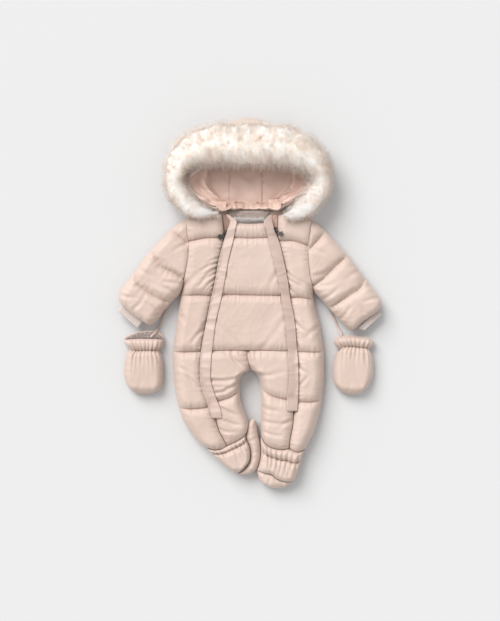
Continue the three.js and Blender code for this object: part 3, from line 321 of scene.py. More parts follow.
nylon = clothMaterial({
    "name": "nylon", "dark": (0.535, 0.41, 0.348), "light": (0.575, 0.452, 0.392), "patchScale": 9,
    "crinkleScale": 70, "crinkleStrength": 0.25, "threads": 900, "weaveStrength": 0.12, "roughness": 0.5,
    "sheen": 0.25, "gloss": 0.3})
satin = clothMaterial({
    "name": "satin", "dark": (0.56, 0.385, 0.315), "light": (0.66, 0.475, 0.40), "patchScale": 12,
    "crinkleScale": 60, "crinkleStrength": 0.2, "threads": 1100, "weaveStrength": 0.1, "roughness": 0.38,
    "sheen": 0.2, "gloss": 0.5})
strapCloth = clothMaterial({
    "name": "strapCloth", "dark": (0.49, 0.365, 0.315), "light": (0.53, 0.405, 0.355), "patchScale": 14,
    "crinkleScale": 90, "crinkleStrength": 0.2, "threads": 900, "weaveStrength": 0.15, "roughness": 0.45,
    "sheen": 0.25, "gloss": 0.4})
ribKnit = clothMaterial({
    "name": "ribKnit", "dark": (0.54, 0.46, 0.425), "light": (0.61, 0.53, 0.49), "patchScale": 25,
    "crinkleScale": 260, "crinkleStrength": 0.6, "threads": 420, "weaveStrength": 0.6, "roughness": 0.85,
    "sheen": 0.4, "gloss": 0.2})
zipTape = clothMaterial({
    "name": "zipTape", "dark": (0.50, 0.34, 0.28), "light": (0.57, 0.40, 0.33), "patchScale": 20,
    "crinkleScale": 200, "crinkleStrength": 0.3, "threads": 500, "weaveStrength": 0.5, "roughness": 0.7,
    "sheen": 0.2, "gloss": 0.3})


# Pile: fleece and fur, with a little light passing through the tips
def pileMaterial(look):
    material, tree, shader = newMaterial(look["name"])
    place = tree.nodes.new("ShaderNodeTexCoord").outputs["Object"]
    tufts = node(tree, "ShaderNodeTexNoise", Scale=look["tuftScale"], Detail=4)
    tree.links.new(place, tufts.inputs["Vector"])
    colour = colourRamp(tree, tufts.outputs["Fac"], [(0.32, look["dark"]), (0.62, look["light"])])
    tree.links.new(colour, shader.inputs["Base Color"])
    tree.links.new(bumpOf(tree, tufts.outputs["Fac"], 0.5, 0.001), shader.inputs["Normal"])
    shader.inputs["Roughness"].default_value = 0.9
    shader.inputs["Specular IOR Level"].default_value = 0.15
    shader.inputs["Subsurface Weight"].default_value = look["soft"]
    shader.inputs["Subsurface Scale"].default_value = 0.045
    shader.inputs["Subsurface Radius"].default_value = (1, 0.88, 0.78)
    through = tree.nodes.new("ShaderNodeBsdfTranslucent")
    tree.links.new(colour, through.inputs["Color"])
    blend = node(tree, "ShaderNodeMixShader", Fac=look["through"])
    tree.links.new(shader.outputs["BSDF"], blend.inputs[1])
    tree.links.new(through.outputs["BSDF"], blend.inputs[2])
    tree.links.new(blend.outputs["Shader"], tree.nodes["Material Output"].inputs["Surface"])
    return material


greigeFleece = pileMaterial({
    "name": "greigeFleece", "dark": (0.88, 0.77, 0.71), "light": (0.98, 0.90, 0.86), "tuftScale": 320,
    "through": 0.4, "soft": 0})
whiteFleece = pileMaterial({
    "name": "whiteFleece", "dark": (0.88, 0.82, 0.78), "light": (0.97, 0.94, 0.92), "tuftScale": 220,
    "through": 0.4, "soft": 0})
furWhite = pileMaterial({
    "name": "furWhite", "dark": (0.98, 0.89, 0.82), "light": (0.998, 0.96, 0.925), "tuftScale": 45,
    "through": 0.6, "soft": 0})
furRoot = pileMaterial({
    "name": "furRoot", "dark": (0.93, 0.80, 0.72), "light": (0.98, 0.91, 0.86), "tuftScale": 60, "through": 0,
    "soft": 1})


def threadMaterial():
    material, tree, shader = newMaterial("thread")
    shader.inputs["Base Color"].default_value = (0.62, 0.43, 0.35, 1)
    shader.inputs["Roughness"].default_value = 0.6
    place = tree.nodes.new("ShaderNodeTexCoord").outputs["Object"]
    twist = node(tree, "ShaderNodeTexWave", Scale=1600, bands_direction="DIAGONAL")
    tree.links.new(place, twist.inputs["Vector"])
    tree.links.new(bumpOf(tree, twist.outputs["Fac"], 0.3, 0.0001), shader.inputs["Normal"])
    return material


thread = threadMaterial()


def metalMaterial():
    material, tree, shader = newMaterial("darkMetal")
    place = tree.nodes.new("ShaderNodeTexCoord").outputs["Object"]
    wear = node(tree, "ShaderNodeTexNoise", Scale=700, Detail=4)
    tree.links.new(place, wear.inputs["Vector"])
    tree.links.new(colourRamp(tree, wear.outputs["Fac"],
        [(0.35, (0.045, 0.042, 0.04)), (0.75, (0.13, 0.125, 0.12))]),
                   shader.inputs["Base Color"])
    tree.links.new(bumpOf(tree, wear.outputs["Fac"], 0.15, 0.0002), shader.inputs["Normal"])
    shader.inputs["Metallic"].default_value = 0.9
    shader.inputs["Roughness"].default_value = 0.32
    return material


darkMetal = metalMaterial()
print("materials made")

# The cut of the body, in the same places as the solids
outerLeft = smoothLine([
    (-143, 194), (-141, 162), (-138, 140), (-137, 117), (-138, 99), (-142, 77), (-147, 50), (-152, 27),
    (-156, 2), (-161, -29), (-166, -60), (-170, -86), (-173, -119), (-173, -142), (-171, -176),
    (-167, -207), (-159, -239), (-150, -266), (-134, -293), (-118, -313), (-96, -329)])
outerRight = smoothLine([
    (140, 189), (135, 158), (132, 124), (132, 101), (134, 77), (138, 50), (143, 27), (145, 5),
    (152, -25), (159, -52), (163, -81), (167, -108), (168, -142), (168, -176), (165, -203),
    (162, -230), (155, -261), (147, -288), (138, -308), (125, -333)])
neckLeft = smoothLine([(-143, 194), (-100, 202), (-63, 199)])
neckRight = smoothLine([(65, 197), (100, 200), (140, 189)])
neckCentre = smoothLine([(-38, 181), (-18, 179), (1, 178), (24, 179), (44, 181)])
waist = smoothLine([(-100, -110), (-50, -108), (0, -108), (50, -109), (99, -110)])
hemLeft = smoothLine([
    (-96, -329), (-80, -332), (-64, -330), (-51, -324), (-33, -315), (-15, -304), (-6, -291), (-2, -272)])
hemRight = smoothLine([
    (26, -304), (37, -320), (53, -329), (73, -332), (89, -331), (98, -335), (110, -338), (125, -333)])
innerSeamLeft = smoothLine([
    (-6, -109), (-4, -128), (-0.4, -143), (1, -152), (-8, -158), (-17, -167), (-21, -178), (-22, -194),
    (-21, -212), (-17, -232), (-10, -252), (-2, -272)])
innerSeamRight = smoothLine([
    (-6, -109), (-4, -128), (0.4, -143), (5, -153), (15, -160), (21, -171), (25, -189), (26, -209),
    (26, -243), (25, -277), (26, -304)])
# Zips: x, y and half the width of the opening that the zip closes
zipRows = {
    "left": [
        (-52, 198, 11), (-50, 173, 10), (-51, 149, 6), (-55.5, 128, 4.5), (-60, 104, 4), (-66, 77, 4),
        (-71, 50, 3.7), (-78.5, 16, 3.6), (-86.5, -18, 3.5), (-94, -52, 3.5), (-100.5, -86, 3.5),
        (-104, -119, 3.5), (-104.5, -153, 3.5), (-101.5, -180, 3.5), (-92.5, -209, 3.5), (-81.5, -241, 3.3),
        (-76.5, -262, 0.5), (-69, -288, 0.5), (-60, -306, 0.5), (-51, -324, 0.5)],
    "right": [
        (54, 196, 11), (54, 162, 10), (59, 140, 6), (68.5, 106, 4.2), (74.5, 83, 4), (78.5, 61, 3.8),
        (84.5, 27, 3.6), (89, -7, 3.5), (94.5, -41, 3.5), (97.5, -74, 3.5), (101.5, -108, 3.5),
        (103.5, -142, 3.5), (103.5, -176, 3.5), (102.5, -209, 3.5), (101, -240, 3.3), (99, -252, 0.5),
        (97.5, -277, 0.5), (92, -304, 0.5), (89, -331, 0.5)],
}
zipMiddle, zipHalf = {}, {}
for side, rows in zipRows.items():
    zipMiddle[side] = smoothLine([row[:2] for row in rows])
    table = np.array(rows)[::-1]
    zipHalf[side] = np.interp(zipMiddle[side][:, 1], table[:, 1], table[:, 2])


def besideZip(side, sign):
    line = zipMiddle[side]
    along = np.gradient(line, axis=0)
    along /= np.linalg.norm(along, axis=1, keepdims=True)
    return line + np.stack([along[:, 1], -along[:, 0]], axis=1) * (sign * zipHalf[side])[:, None]


# Padding, in the same way for every quilted piece.
# sides: how much of the height is lost at each edge and how far in it comes back
# rows: quilting lines, with their places at the left and the right edge
padding = {
    "backLoft": 20, "frontLoft": 30, "sleeveLoft": 26, "seam": 0.3, "sewnGap": 0.05, "quiltRound": 20,
    "lumps": 1.1,
    "puckerHeight": 1.6, "puckerReach": 15, "groove": 1.6, "grooveWidth": 1.5, "crinkle": 0.6,
    "leastEdge": 2.0, "step": 2.0}


def creaseAt(edge, v):
    depth, reach = edge
    return (depth(v) if callable(depth) else depth), (reach(v) if callable(reach) else reach)


def paddingShare(edges, s, v, sides, rows):
    here = patch(edges, s, v)
    zero, one = np.zeros_like(s), np.ones_like(s)
    share = np.ones_like(s)
    seams = []
    for side, (otherS, otherV) in {"left": (zero, v), "right": (one, v), "top": (s, zero),
        "bottom": (s, one)}.items():
        depth, reach = creaseAt(sides[side], v)
        distance = np.linalg.norm(patch(edges, otherS, otherV) - here, axis=-1)
        share = share * (1 - depth * (1 - rise(distance, reach)))
        seams.append((distance, here[..., 1] if side in ("left", "right") else here[..., 0], 0.8))
    for row in rows:
        if "line" in row:
            distance, along = offLine(row["line"], here[..., 0], here[..., 1])
            distance = np.abs(distance)
        else:
            place = row["left"] * (1 - s) + row["right"] * s
            distance = np.linalg.norm(patch(edges, s, place) - here, axis=-1)
            along = here[..., 0] + 37 * row["left"]
        share = share * (1 - row["depth"] * (1 - rise(distance, row.get("reach", padding["quiltRound"]))))
        seams.append((distance, along, 1.0))
    return here, share, seams


# Short folds that the stitching draws into the cloth, strongest at the seam and gone a little way off
def puckers(seams, seed):
    total = 0
    for count, (distance, along, strength) in enumerate(seams):
        chance = np.random.default_rng(seed * 31 + count)
        ripple = sum(
            np.sin(along * 2 * math.pi / chance.uniform(6, 19) + chance.uniform(0, 6.3))
            for _ in range(5)) / 2.6
        reach = padding["puckerReach"] * (0.75 + 0.25 * np.sin(along / 13 + seed))
        near = np.exp(-(distance / reach) ** 2) * fade(distance, 0, 3.5)
        uneven = 0.6 + 0.4 * np.sin(along / 17 + seed + count) * np.sin(along / 7.3 + 2 * seed)
        total = total + strength * near * ripple * uneven * padding["puckerHeight"]
        if strength == 1:
            total = total - padding["groove"] * np.exp(-(distance / padding["grooveWidth"]) ** 2)
    return total


# Creases, as listed: from, to, width and depth. A ridge lies along each side of a trough.
def creases(x, y, rows):
    total = np.zeros_like(x)
    for x0, y0, x1, y1, width, depth in rows:
        dx, dy = x1 - x0, y1 - y0
        length = math.hypot(dx, dy)
        along = ((x - x0) * dx + (y - y0) * dy) / length
        bend = 0.06 * length * np.sin(np.clip(along / length, 0, 1) * math.pi)
        off = ((x - x0) * dy - (y - y0) * dx) / length - bend
        past = np.maximum(0, np.maximum(-along, along - length))
        weight = np.exp(-(past / (2.2 * width)) ** 2) * (1 - 0.6 * np.clip(along / length, 0, 1))
        trough = np.exp(-(off / width) ** 2)
        ridge = np.exp(-((off - 2.1 * width) / width) ** 2) + np.exp(-((off + 2.1 * width) / width) ** 2)
        total += depth * weight * (0.42 * ridge - trough)
    return total


def crumple(x, y, seed):
    folds = unevenness(x, y, 46, seed) + 0.5 * unevenness(x, y, 21, seed + 1)
    thin = (1 - np.minimum(np.abs(folds) * 1.6, 1)) ** 3
    return padding["crinkle"] * thin + padding["lumps"] * unevenness(x, y, 75, seed + 2)


# Grid places down a piece, closer together beside each quilting line
def gridOver(edges, rows, step):
    width = max(np.ptp(edges["top"][:, 0]), np.ptp(edges["bottom"][:, 0]), 20)
    length = np.linalg.norm(np.diff(edges["left"], axis=0), axis=1).sum()
    across = max(12, int(width / step))
    s = (1 - np.cos(np.linspace(0, math.pi, across + 1))) / 2 * 0.55 + np.linspace(0, 1, across + 1) * 0.45
    marks = [(0, 0), *[(row["left"], row["right"]) for row in rows], (1, 1)]
    lines = []
    for (a, b), (c, d) in zip(marks, marks[1:]):
        count = max(6, int(length * abs(c - a + d - b) / 2 / step))
        t = np.linspace(0, 1, count + 1)[:-1] * 0.5 + (1
            - np.cos(np.linspace(0, math.pi, count + 1)[:-1])) / 4
        lines += [(a + (c - a) * k, b + (d - b) * k) for k in t]
    lines.append((1, 1))
    lines = np.array(lines)
    v = lines[:, :1] * (1 - s) + lines[:, 1:] * s
    return np.broadcast_to(s, v.shape), v


def rowShares(rows, edges):
    return [{**row, "left": shareAt(edges["left"], row["left"]),
        "right": shareAt(edges["right"], row["right"])}
            for row in rows]


seamPaths = []  # where stitches go: points on the cloth and the pieces' body


def paddedPiece(look):
    edges, sides = look["edges"], look["sides"]
    rows = rowShares(look["rows"], edges) if look.get("rowsByHeight", True) else look["rows"]
    s, v = gridOver(edges, rows, look.get("step", padding["step"]))
    here, share, seams = paddingShare(edges, s, v, sides, rows)
    x, y = here[..., 0], here[..., 1]
    flat, loft = look["flat"], look["loft"]
    lift = abs(loft) * share
    if look.get("detail", 1):
        calm = fade(share, 0.05, 0.5) * look.get("detail", 1)
        lift = lift + puckers(seams, look["seed"]) * fade(share, 0.1, 0.5) * look.get("detail", 1)
        lift = lift + (crumple(x, y, look["seed"]) + 1.4 * creases(x, y, look.get("creases", []))) * calm
    if "extra" in look:
        lift = lift + look["extra"](s, v, x, y)
    lift = np.maximum(lift, padding["leastEdge"])
    top = np.dstack([x, y, np.maximum(0, flat + math.copysign(1, loft) * lift)])
    bottom = np.dstack([x, y, np.full_like(x, flat)])
    piece = link(look["name"], shellOf(look["name"], top, bottom))
    finishPiece(piece, look.get("material", nylon), "suit", look["nodes"])
    if loft > 0:
        for row in rows:
            across = np.linspace(0.01, 0.99, 160)
            place = row["left"] * (1 - across) + row["right"] * across
            seamPaths.append({"points": patch(edges, across, place), "on": look["name"], "pitch": 3.4})
    print(look["name"], len(piece.data.polygons))
    return piece


def downTo(y, above, below):
    return lambda line: (lambda v: above + (below - above) * (1 - fade(at(line, v)[..., 1], y - 14, y + 14)))


def outerSide(line, armpitY):
    return downTo(armpitY, 0.22, 1.0)(line), downTo(armpitY, 20, 26)(line)


def crotchSide(line):
    return downTo(-150, 0.45, 1.0)(line), downTo(-150, 20, 26)(line)


zipSide, hemSide, waistSide = (0.42, 20), (0.46, 22), (0.34, 20)
onBack = padding["backLoft"] + padding["seam"]
half = padding["sewnGap"] / 2
hemLeftSplit, hemRightSplit = shareWhereX(hemLeft, -51), shareWhereX(hemRight, 89)
waistSplit = shareWhereX(waist, -6)

frontPanels = [
    {
        "name": "sidePanelLeft", "nodes": ["front_left"], "seed": 3,
        "edges": {
            "left": beside(outerLeft, -half), "right": besideZip("left", 1),
            "top": beside(neckLeft, half), "bottom": beside(part(hemLeft, 0, hemLeftSplit), -half)},
        "sides": {"left": outerSide(outerLeft, 46), "right": zipSide, "top": (0.5, 22), "bottom": hemSide},
        "rows": [
            {"left": 137, "right": 144, "depth": 0.4}, {"left": 15, "right": 14, "depth": 0.42},
            {"left": -111, "right": -109, "depth": 0.4}, {"left": -238, "right": -234, "depth": 0.36}],
        "creases": [
            (-70, 98, -92, 88, 2.6, 2.2), (-71, 88, -106, 72, 2.8, 2.8), (-73, 76, -104, 52, 2.8, 3.0),
            (-74, 66, -112, 38, 3.0, 2.8), (-77, 52, -100, 28, 2.8, 2.8), (-78, 40, -97, 22, 2.6, 2.4),
            (-82, 30, -90, 18, 2.2, 2.0), (-104, -63, -127, -88, 4.0, 2.6), (-96, -46, -110, -60, 3.4, 2.0),
            (-134, -171, -111, -193, 4.2, 2.6), (-150, -150, -120, -165, 4.0, 1.6),
            (-160, -20, -138, -50, 5.0, 1.8), (-148, 40, -120, 60, 5.0, 1.6),
            (-104, 182, -92, 160, 5.0, 1.5)],
    },
    {
        "name": "sidePanelRight", "nodes": ["front_right"], "seed": 5,
        "edges": {
            "left": besideZip("right", -1), "right": beside(outerRight, half),
            "top": beside(neckRight, half), "bottom": beside(part(hemRight, hemRightSplit, 1), -half)},
        "sides": {"left": zipSide, "right": outerSide(outerRight, 30), "top": (0.5, 22), "bottom": hemSide},
        "rows": [
            {"left": 138, "right": 127, "depth": 0.4}, {"left": 10, "right": 6, "depth": 0.42},
            {"left": -111, "right": -112, "depth": 0.34}, {"left": -224, "right": -219, "depth": 0.36}],
        "creases": [
            (84, 68, 98, 54, 2.8, 2.6), (87, 38, 100, 20, 2.8, 2.8), (85, 56, 112, 36, 3.0, 2.0),
            (105, -47, 121, -63, 3.4, 2.6), (107, -96, 116, -113, 3.2, 2.6), (109, -142, 125, -158, 3.6, 2.6),
            (114, -184, 127, -171, 3.6, 2.4), (150, -60, 128, -78, 5.0, 1.8), (140, 30, 118, 44, 5.0, 1.6)],
    },
    {
        "name": "centrePanel", "nodes": ["front_centre"], "seed": 8,
        "edges": {
            "left": between(besideZip("left", -1), 181, -109.6),
            "right": between(besideZip("right", 1), 181, -108.8),
            "top": beside(neckCentre, half), "bottom": beside(waist, -half)},
        "sides": {"left": zipSide, "right": zipSide, "top": (0.6, 12), "bottom": waistSide},
        "rows": [{"left": 146, "right": 146, "depth": 0.32}, {"left": 17, "right": 15, "depth": 0.36}],
        "creases": [
            (-60, 70, -36, 40, 5.0, 1.2), (62, 64, 44, 30, 5.0, 1.2), (-80, -40, -50, -70, 6.0, 1.2),
            (84, -36, 60, -66, 6.0, 1.3), (-20, -100, -34, -84, 5.0, 1.3), (30, -102, 44, -84, 5.0, 1.3)],
    },
    {
        "name": "innerLegLeft", "nodes": ["inner_leg_left"], "seed": 11,
        "edges": {
            "left": between(besideZip("left", -1), -110.2, -324), "right": beside(innerSeamLeft, half),
            "top": beside(part(waist, 0, waistSplit), half),
            "bottom": beside(part(hemLeft, hemLeftSplit, 1), -half)},
        "sides": {"left": zipSide, "right": crotchSide(innerSeamLeft), "top": waistSide, "bottom": hemSide},
        "rows": [{"left": -226, "right": -197, "depth": 0.34}],
        "creases": [
            (-40, -112, -16, -152, 4.0, 2.4), (-54, -112, 8, -152, 4.2, 1.6),
            (-84, -176, -22, -169, 3.8, 2.8),
            (-71, -203, -39, -194, 3.4, 2.6), (-50, -194, -21, -178, 3.2, 2.0),
            (-60, -240, -30, -252, 4.0, 2.2),
            (-52, -268, -20, -276, 3.6, 2.0), (-66, -286, -34, -292, 3.4, 1.8)],
    },
    {
        "name": "innerLegRight", "nodes": ["inner_leg_right"], "seed": 13,
        "edges": {
            "left": beside(innerSeamRight, -half), "right": between(besideZip("right", 1), -109.4, -331),
            "top": beside(part(waist, waistSplit, 1), half),
            "bottom": beside(part(hemRight, 0, hemRightSplit), -half)},
        "sides": {"left": crotchSide(innerSeamRight), "right": zipSide, "top": waistSide, "bottom": hemSide},
        "rows": [{"left": -196, "right": -221, "depth": 0.36}],
        "creases": [
            (-2, -112, 4, -136, 3.6, 2.0), (14, -112, 22, -150, 4.2, 1.8), (28, -164, 70, -158, 4.4, 1.6),
            (30, -236, 62, -244, 4.2, 2.2), (32, -268, 84, -272, 4.0, 2.4), (34, -292, 70, -300, 3.6, 2.0),
            (94, -266, 70, -280, 3.6, 1.8)],
    },
]
frontPieces = {}
for look in frontPanels:
    frontPieces[look["name"]] = paddedPiece({**look, "flat": onBack, "loft": padding["frontLoft"]})

# Back of the body, upside down: its lower side is what the suit lies on
backTop = {
    "left": smoothLine([(-143, 194), (-118, 202), (-90, 206), (-60, 206.5), (-0.2, 206)]),
    "right": smoothLine([(0.2, 206), (60, 206.5), (90, 205), (115, 199), (140, 189)])}
backMiddle = {
    "left": smoothLine([
        (0, 206), (1.4, 140), (2.6, 60), (3, -20), (2.8, -90), (2.6, -125), (2, -142), (-4, -154),
        (-17, -167), (-21, -178), (-22, -194), (-21, -212), (-17, -232), (-10, -252), (-2, -272)]),
    "right": smoothLine([
        (0, 206), (1.4, 140), (2.6, 60), (3, -20), (2.8, -90), (2.6, -125), (3.2, -142), (8, -153),
        (21, -171), (25, -189), (26, -209), (26, -243), (25, -277), (26, -304)])}


def groundSide(line, armpitY):
    return downTo(armpitY, 0.15, 0.62)(line), 15


def middleSide(line):
    return downTo(-150, 0.2, 0.62)(line), 13


backPanels = [
    {
        "name": "backPanelLeft", "nodes": ["back_left"], "seed": 17,
        "edges": {
            "left": beside(outerLeft, -half), "right": beside(backMiddle["left"], half),
            "top": beside(backTop["left"], half), "bottom": beside(hemLeft, -half)},
        "sides": {
            "left": groundSide(outerLeft, 46), "right": middleSide(backMiddle["left"]), "top": (0.45, 12),
            "bottom": (0.3, 12)},
    },
    {
        "name": "backPanelRight", "nodes": ["back_right"], "seed": 19,
        "edges": {
            "left": beside(backMiddle["right"], -half), "right": beside(outerRight, half),
            "top": beside(backTop["right"], half), "bottom": beside(hemRight, -half)},
        "sides": {
            "left": middleSide(backMiddle["right"]), "right": groundSide(outerRight, 30), "top": (0.45, 12),
            "bottom": (0.3, 12)},
    },
]
backRows = [{"left": y, "right": y, "depth": 0.22, "reach": 10} for y in (140, 14, -110, -225)]
for look in backPanels:
    paddedPiece({
        **look, "rows": backRows, "flat": padding["backLoft"], "loft": -padding["backLoft"], "step": 4,
        "detail": 0.4})

# Sleeves: flattened tubes, open at the armhole seam and at the hem
sleeveMiddle = 22
sleeveLooks = {
    "left": {
        "seed": 23, "opening": (0.07, 0.8),
        "edges": {
            "left": smoothLine([
                (-145, 191), (-177, 164), (-197, 144), (-222, 117), (-244, 90), (-269, 56), (-291, 27),
                (-296, 3)]),
            "right": smoothLine([
                (-149, 50), (-153.5, 27), (-160, 15), (-168, 7), (-183, -9), (-195, -23), (-208, -41),
                (-219, -52)]),
            "top": beside(between(outerLeft, 191, 50), 0.06),
            "bottom": smoothLine([
                (-296, 3), (-287, -7), (-273, -20), (-255, -34), (-242, -42), (-231, -50), (-219, -52)])},
        "rows": [
            {"line": smoothLine([(-177.5, 162), (-160, 147), (-142, 133)]), "depth": 0.44},
            {"line": smoothLine([(-222, 113), (-198.5, 80), (-166, 62), (-147.5, 50)]), "depth": 0.44},
            {"line": smoothLine([(-261, 59), (-247, 35), (-209, 10), (-180, -1)]), "depth": 0.44}],
        "creases": [
            (-160, 60, -186, 72, 4.0, 2.4), (-158, 40, -190, 44, 4.0, 2.4), (-170, 18, -200, 36, 4.0, 2.2),
            (-190, 0, -214, 22, 4.0, 2.0), (-206, -26, -228, -4, 4.0, 2.2), (-222, 100, -200, 92, 4.0, 1.8),
            (-270, 40, -246, 32, 4.4, 2.0), (-284, 14, -262, 10, 4.0, 2.0), (-146, 128, -168, 116, 4.0, 1.8),
            (-244, 72, -222, 60, 4.4, 1.6), (-258, -14, -240, 6, 4.0, 1.8), (-232, 30, -216, 14, 3.8, 1.6)],
    },
    "right": {
        "seed": 29, "opening": (0.2, 0.93),
        "edges": {
            "left": smoothLine([
                (144, 29), (152, 16), (165, 2), (181, -16), (195, -32), (210, -47), (224, -61)]),
            "right": smoothLine([
                (141, 189), (172, 160), (195, 135), (219, 108), (240, 81), (260, 54), (280, 27), (294, 9),
                (298, -6)]),
            "top": beside(between(outerRight, 188.7, 29), -0.06)[::-1],
            "bottom": smoothLine([
                (298, -6), (291, -18), (273, -32), (251, -47), (242, -56), (233, -62), (224, -61)])[::-1]},
        "rows": [
            {"line": smoothLine([(172, 160), (155, 141), (137.5, 122)]), "depth": 0.44},
            {"line": smoothLine([(220, 106), (192, 79), (165, 52), (144, 37.5)]), "depth": 0.44},
            {"line": smoothLine([(260, 52), (246, 29.5), (219, 11.5), (185, -10)]), "depth": 0.44}],
        "creases": [
            (150, 60, 178, 70, 4.0, 2.4), (152, 36, 184, 40, 4.0, 2.4), (168, 8, 196, 28, 4.0, 2.2),
            (186, -14, 210, 10, 4.0, 2.0), (204, -38, 224, -14, 4.0, 2.2), (218, 96, 196, 86, 4.0, 1.8),
            (268, 36, 244, 26, 4.4, 2.0), (286, 8, 262, 2, 4.0, 2.0), (142, 120, 166, 110, 4.0, 1.8),
            (240, 66, 220, 54, 4.4, 1.6), (256, -22, 238, -2, 4.0, 1.8), (230, 24, 214, 8, 3.8, 1.6)],
    },
}
sleeveHollow = [  # share of the way to the hem, half the height of the hollow
    (0, 0.6), (0.72, 0.6), (0.88, 3.4), (1, 4.6)]


def ringShell(name, rings, flatRows=()):
    rings = np.asarray(rings)
    rows, columns = rings.shape[:2]
    index = np.arange(rows * columns).reshape(rows, columns)
    following = np.roll(index, -1, axis=0)
    corners = [index, np.roll(index, -1, axis=1), np.roll(following, -1, axis=1), following]
    faces = np.stack(corners, axis=-1).reshape(-1, 4).tolist()
    flat = [row * columns + column for row in flatRows for column in range(columns)]
    return faceOut(meshOf(name, rings.reshape(-1, 3), faces, flat))


def sleevePiece(side, look):
    edges, rows = dict(look["edges"]), look["rows"]
    # Both long edges start where the armhole ends
    for edge, end in (("left", 0), ("right", -1)):
        pull = fade(np.linspace(1, 0, len(edges[edge])), 0.8, 1)[:, None]
        edges[edge] = edges[edge] + (edges["top"][end] - edges[edge][0]) * pull
    s, v = gridOver(edges, [], 1.4)
    sides = {"left": (0.93, 24), "right": (0.93, 24), "top": (0.22, 20), "bottom": (0.55, 16)}
    here, share, seams = paddingShare(edges, s, v, sides, rows)
    x, y = here[..., 0], here[..., 1]
    calm = fade(share, 0.12, 0.55)
    lift = padding["sleeveLoft"] * share + puckers(seams, look["seed"]) * calm
    lift = lift + (crumple(x, y, look["seed"]) + 1.3 * creases(x, y, look["creases"])) * calm
    underSides = {**sides, "top": (0.15, 14), "bottom": (0.3, 12)}
    underShare = paddingShare(edges, s, v, underSides, [])[1]
    upper = np.dstack([x, y, sleeveMiddle + np.maximum(lift, 1.2)])
    lower = np.dstack([x, y, np.maximum(0, sleeveMiddle * (1 - underShare))])
    places = np.concatenate([np.linspace(1, 0.7, 12), [0.35, 0]])
    heights = np.interp(places, *np.array(sleeveHollow).T)
    across = s[0]
    hollow = []
    for place, height in zip(places, heights):
        inside = look["opening"][0] * (1 - across) + look["opening"][1] * across
        middle = patch(edges, inside, np.full_like(inside, place))
        half = height * (0.25 + 0.75 * rise(np.minimum(across, 1 - across), 0.12))
        top = np.column_stack([middle, sleeveMiddle + half])
        hollow.append(np.vstack([top, (top * [1, 1, -1] + [0, 0, 2 * sleeveMiddle])[::-1]]))
    outer = [np.vstack([a, b[::-1]]) for a, b in zip(upper, lower)]
    piece = link(f"sleeve{side.title()}", ringShell(
        f"sleeve{side.title()}", [*outer, *hollow], [len(outer) + len(hollow) - 1]))
    finishPiece(piece, nylon, "suit", [f"sleeve_{side}"])
    for row in rows:
        seamPaths.append({"points": row["line"][8:-8:3], "on": piece.name, "pitch": 3.4})
    print(piece.name, len(piece.data.polygons))


for side, look in sleeveLooks.items():
    sleevePiece(side, look)

# Ribbed cuffs, each a knitted tube that starts inside the sleeve's hem
cuffLooks = {
    "left": {"start": [(-287, -7), (-240, -43)], "end": [(-298, -20), (-253, -59)]},
    "right": {"start": [(289, -18), (244, -59)], "end": [(298, -29), (260, -64)]}}
cuffWall = 2.6
cuffRibs = 19


def cuffPiece(side, look):
    start, end = np.array(look["start"], float), np.array(look["end"], float)
    k = np.linspace(0, 1, cuffRibs * 8 + 1)
    ribs = 0.45 * np.cos(2 * math.pi * cuffRibs * k)

    def ring(t, inset, height):
        a, b = start * (1 - t) + end * t
        width = np.linalg.norm(b - a)
        s = inset / width + (1 - 2 * inset / width) * k
        rounded = height * (0.4 + 0.6 * rise(np.minimum(k, 1 - k), 0.09))
        top = np.column_stack([a + (b - a) * s[:, None], sleeveMiddle + rounded])
        return np.vstack([top, (top * [1, 1, -1] + [0, 0, 2 * sleeveMiddle])[::-1]])

    outer = [ring(t, 0, 3.5 + ribs + 0.25 * math.sin(9 * t)) for t in np.linspace(0, 0.9, 10)]
    lip = [ring(0.965, 0.1, 3.1 + ribs), ring(1, 0.7, 2.2 + ribs * 0.6), ring(1, 1.8, 1.1 + ribs * 0.2)]
    inner = [ring(t, cuffWall, np.full_like(k, 0.6)) for t in (0.97, 0.5, 0)]
    piece = link(f"cuff{side.title()}", ringShell(f"cuff{side.title()}", [*outer, *lip, *inner]))
    finishPiece(piece, ribKnit, "suit", [f"cuff_{side}"])
    return piece


for side, look in cuffLooks.items():
    cuffPiece(side, look)

# Zip tapes, with the two rows of teeth set along their middle further down
zipEnds = {"left": -261, "right": -248}
tapeHeight = {"top": 26.2, "bottom": 23.2}


def tapePiece(side):
    line = zipMiddle[side]
    last = shareAt(line, zipEnds[side])
    places = np.linspace(0, last, 160)
    middle, width = at(line, places), np.interp(places, np.linspace(0, 1, len(line)), zipHalf[side]) - 0.9
    along = np.gradient(middle, axis=0)
    along /= np.linalg.norm(along, axis=1, keepdims=True)
    across = np.stack([along[:, 1], -along[:, 0]], axis=1)
    shares = np.array([-1, -0.94, -0.5, -0.2, 0.2, 0.5, 0.94, 1])
    bow = np.array([-0.5, 0, 0.3, 0, 0, 0.3, 0, -0.5])
    flat = middle[:, None] + across[:, None] * (shares[None, :, None] * width[:, None, None])
    upper = np.dstack([flat, np.broadcast_to(tapeHeight["top"] + bow, flat.shape[:2])])
    lower = np.dstack([flat, np.full(flat.shape[:2], tapeHeight["bottom"])])
    piece = link(f"zipTape{side.title()}", shellOf(f"zipTape{side.title()}", upper, lower))
    finishPiece(piece, zipTape, "suit", [f"zip_{side}"])
    return middle


zipLines = {side: tapePiece(side) for side in ("left", "right")}
print("sleeves, cuffs and zip tapes made")

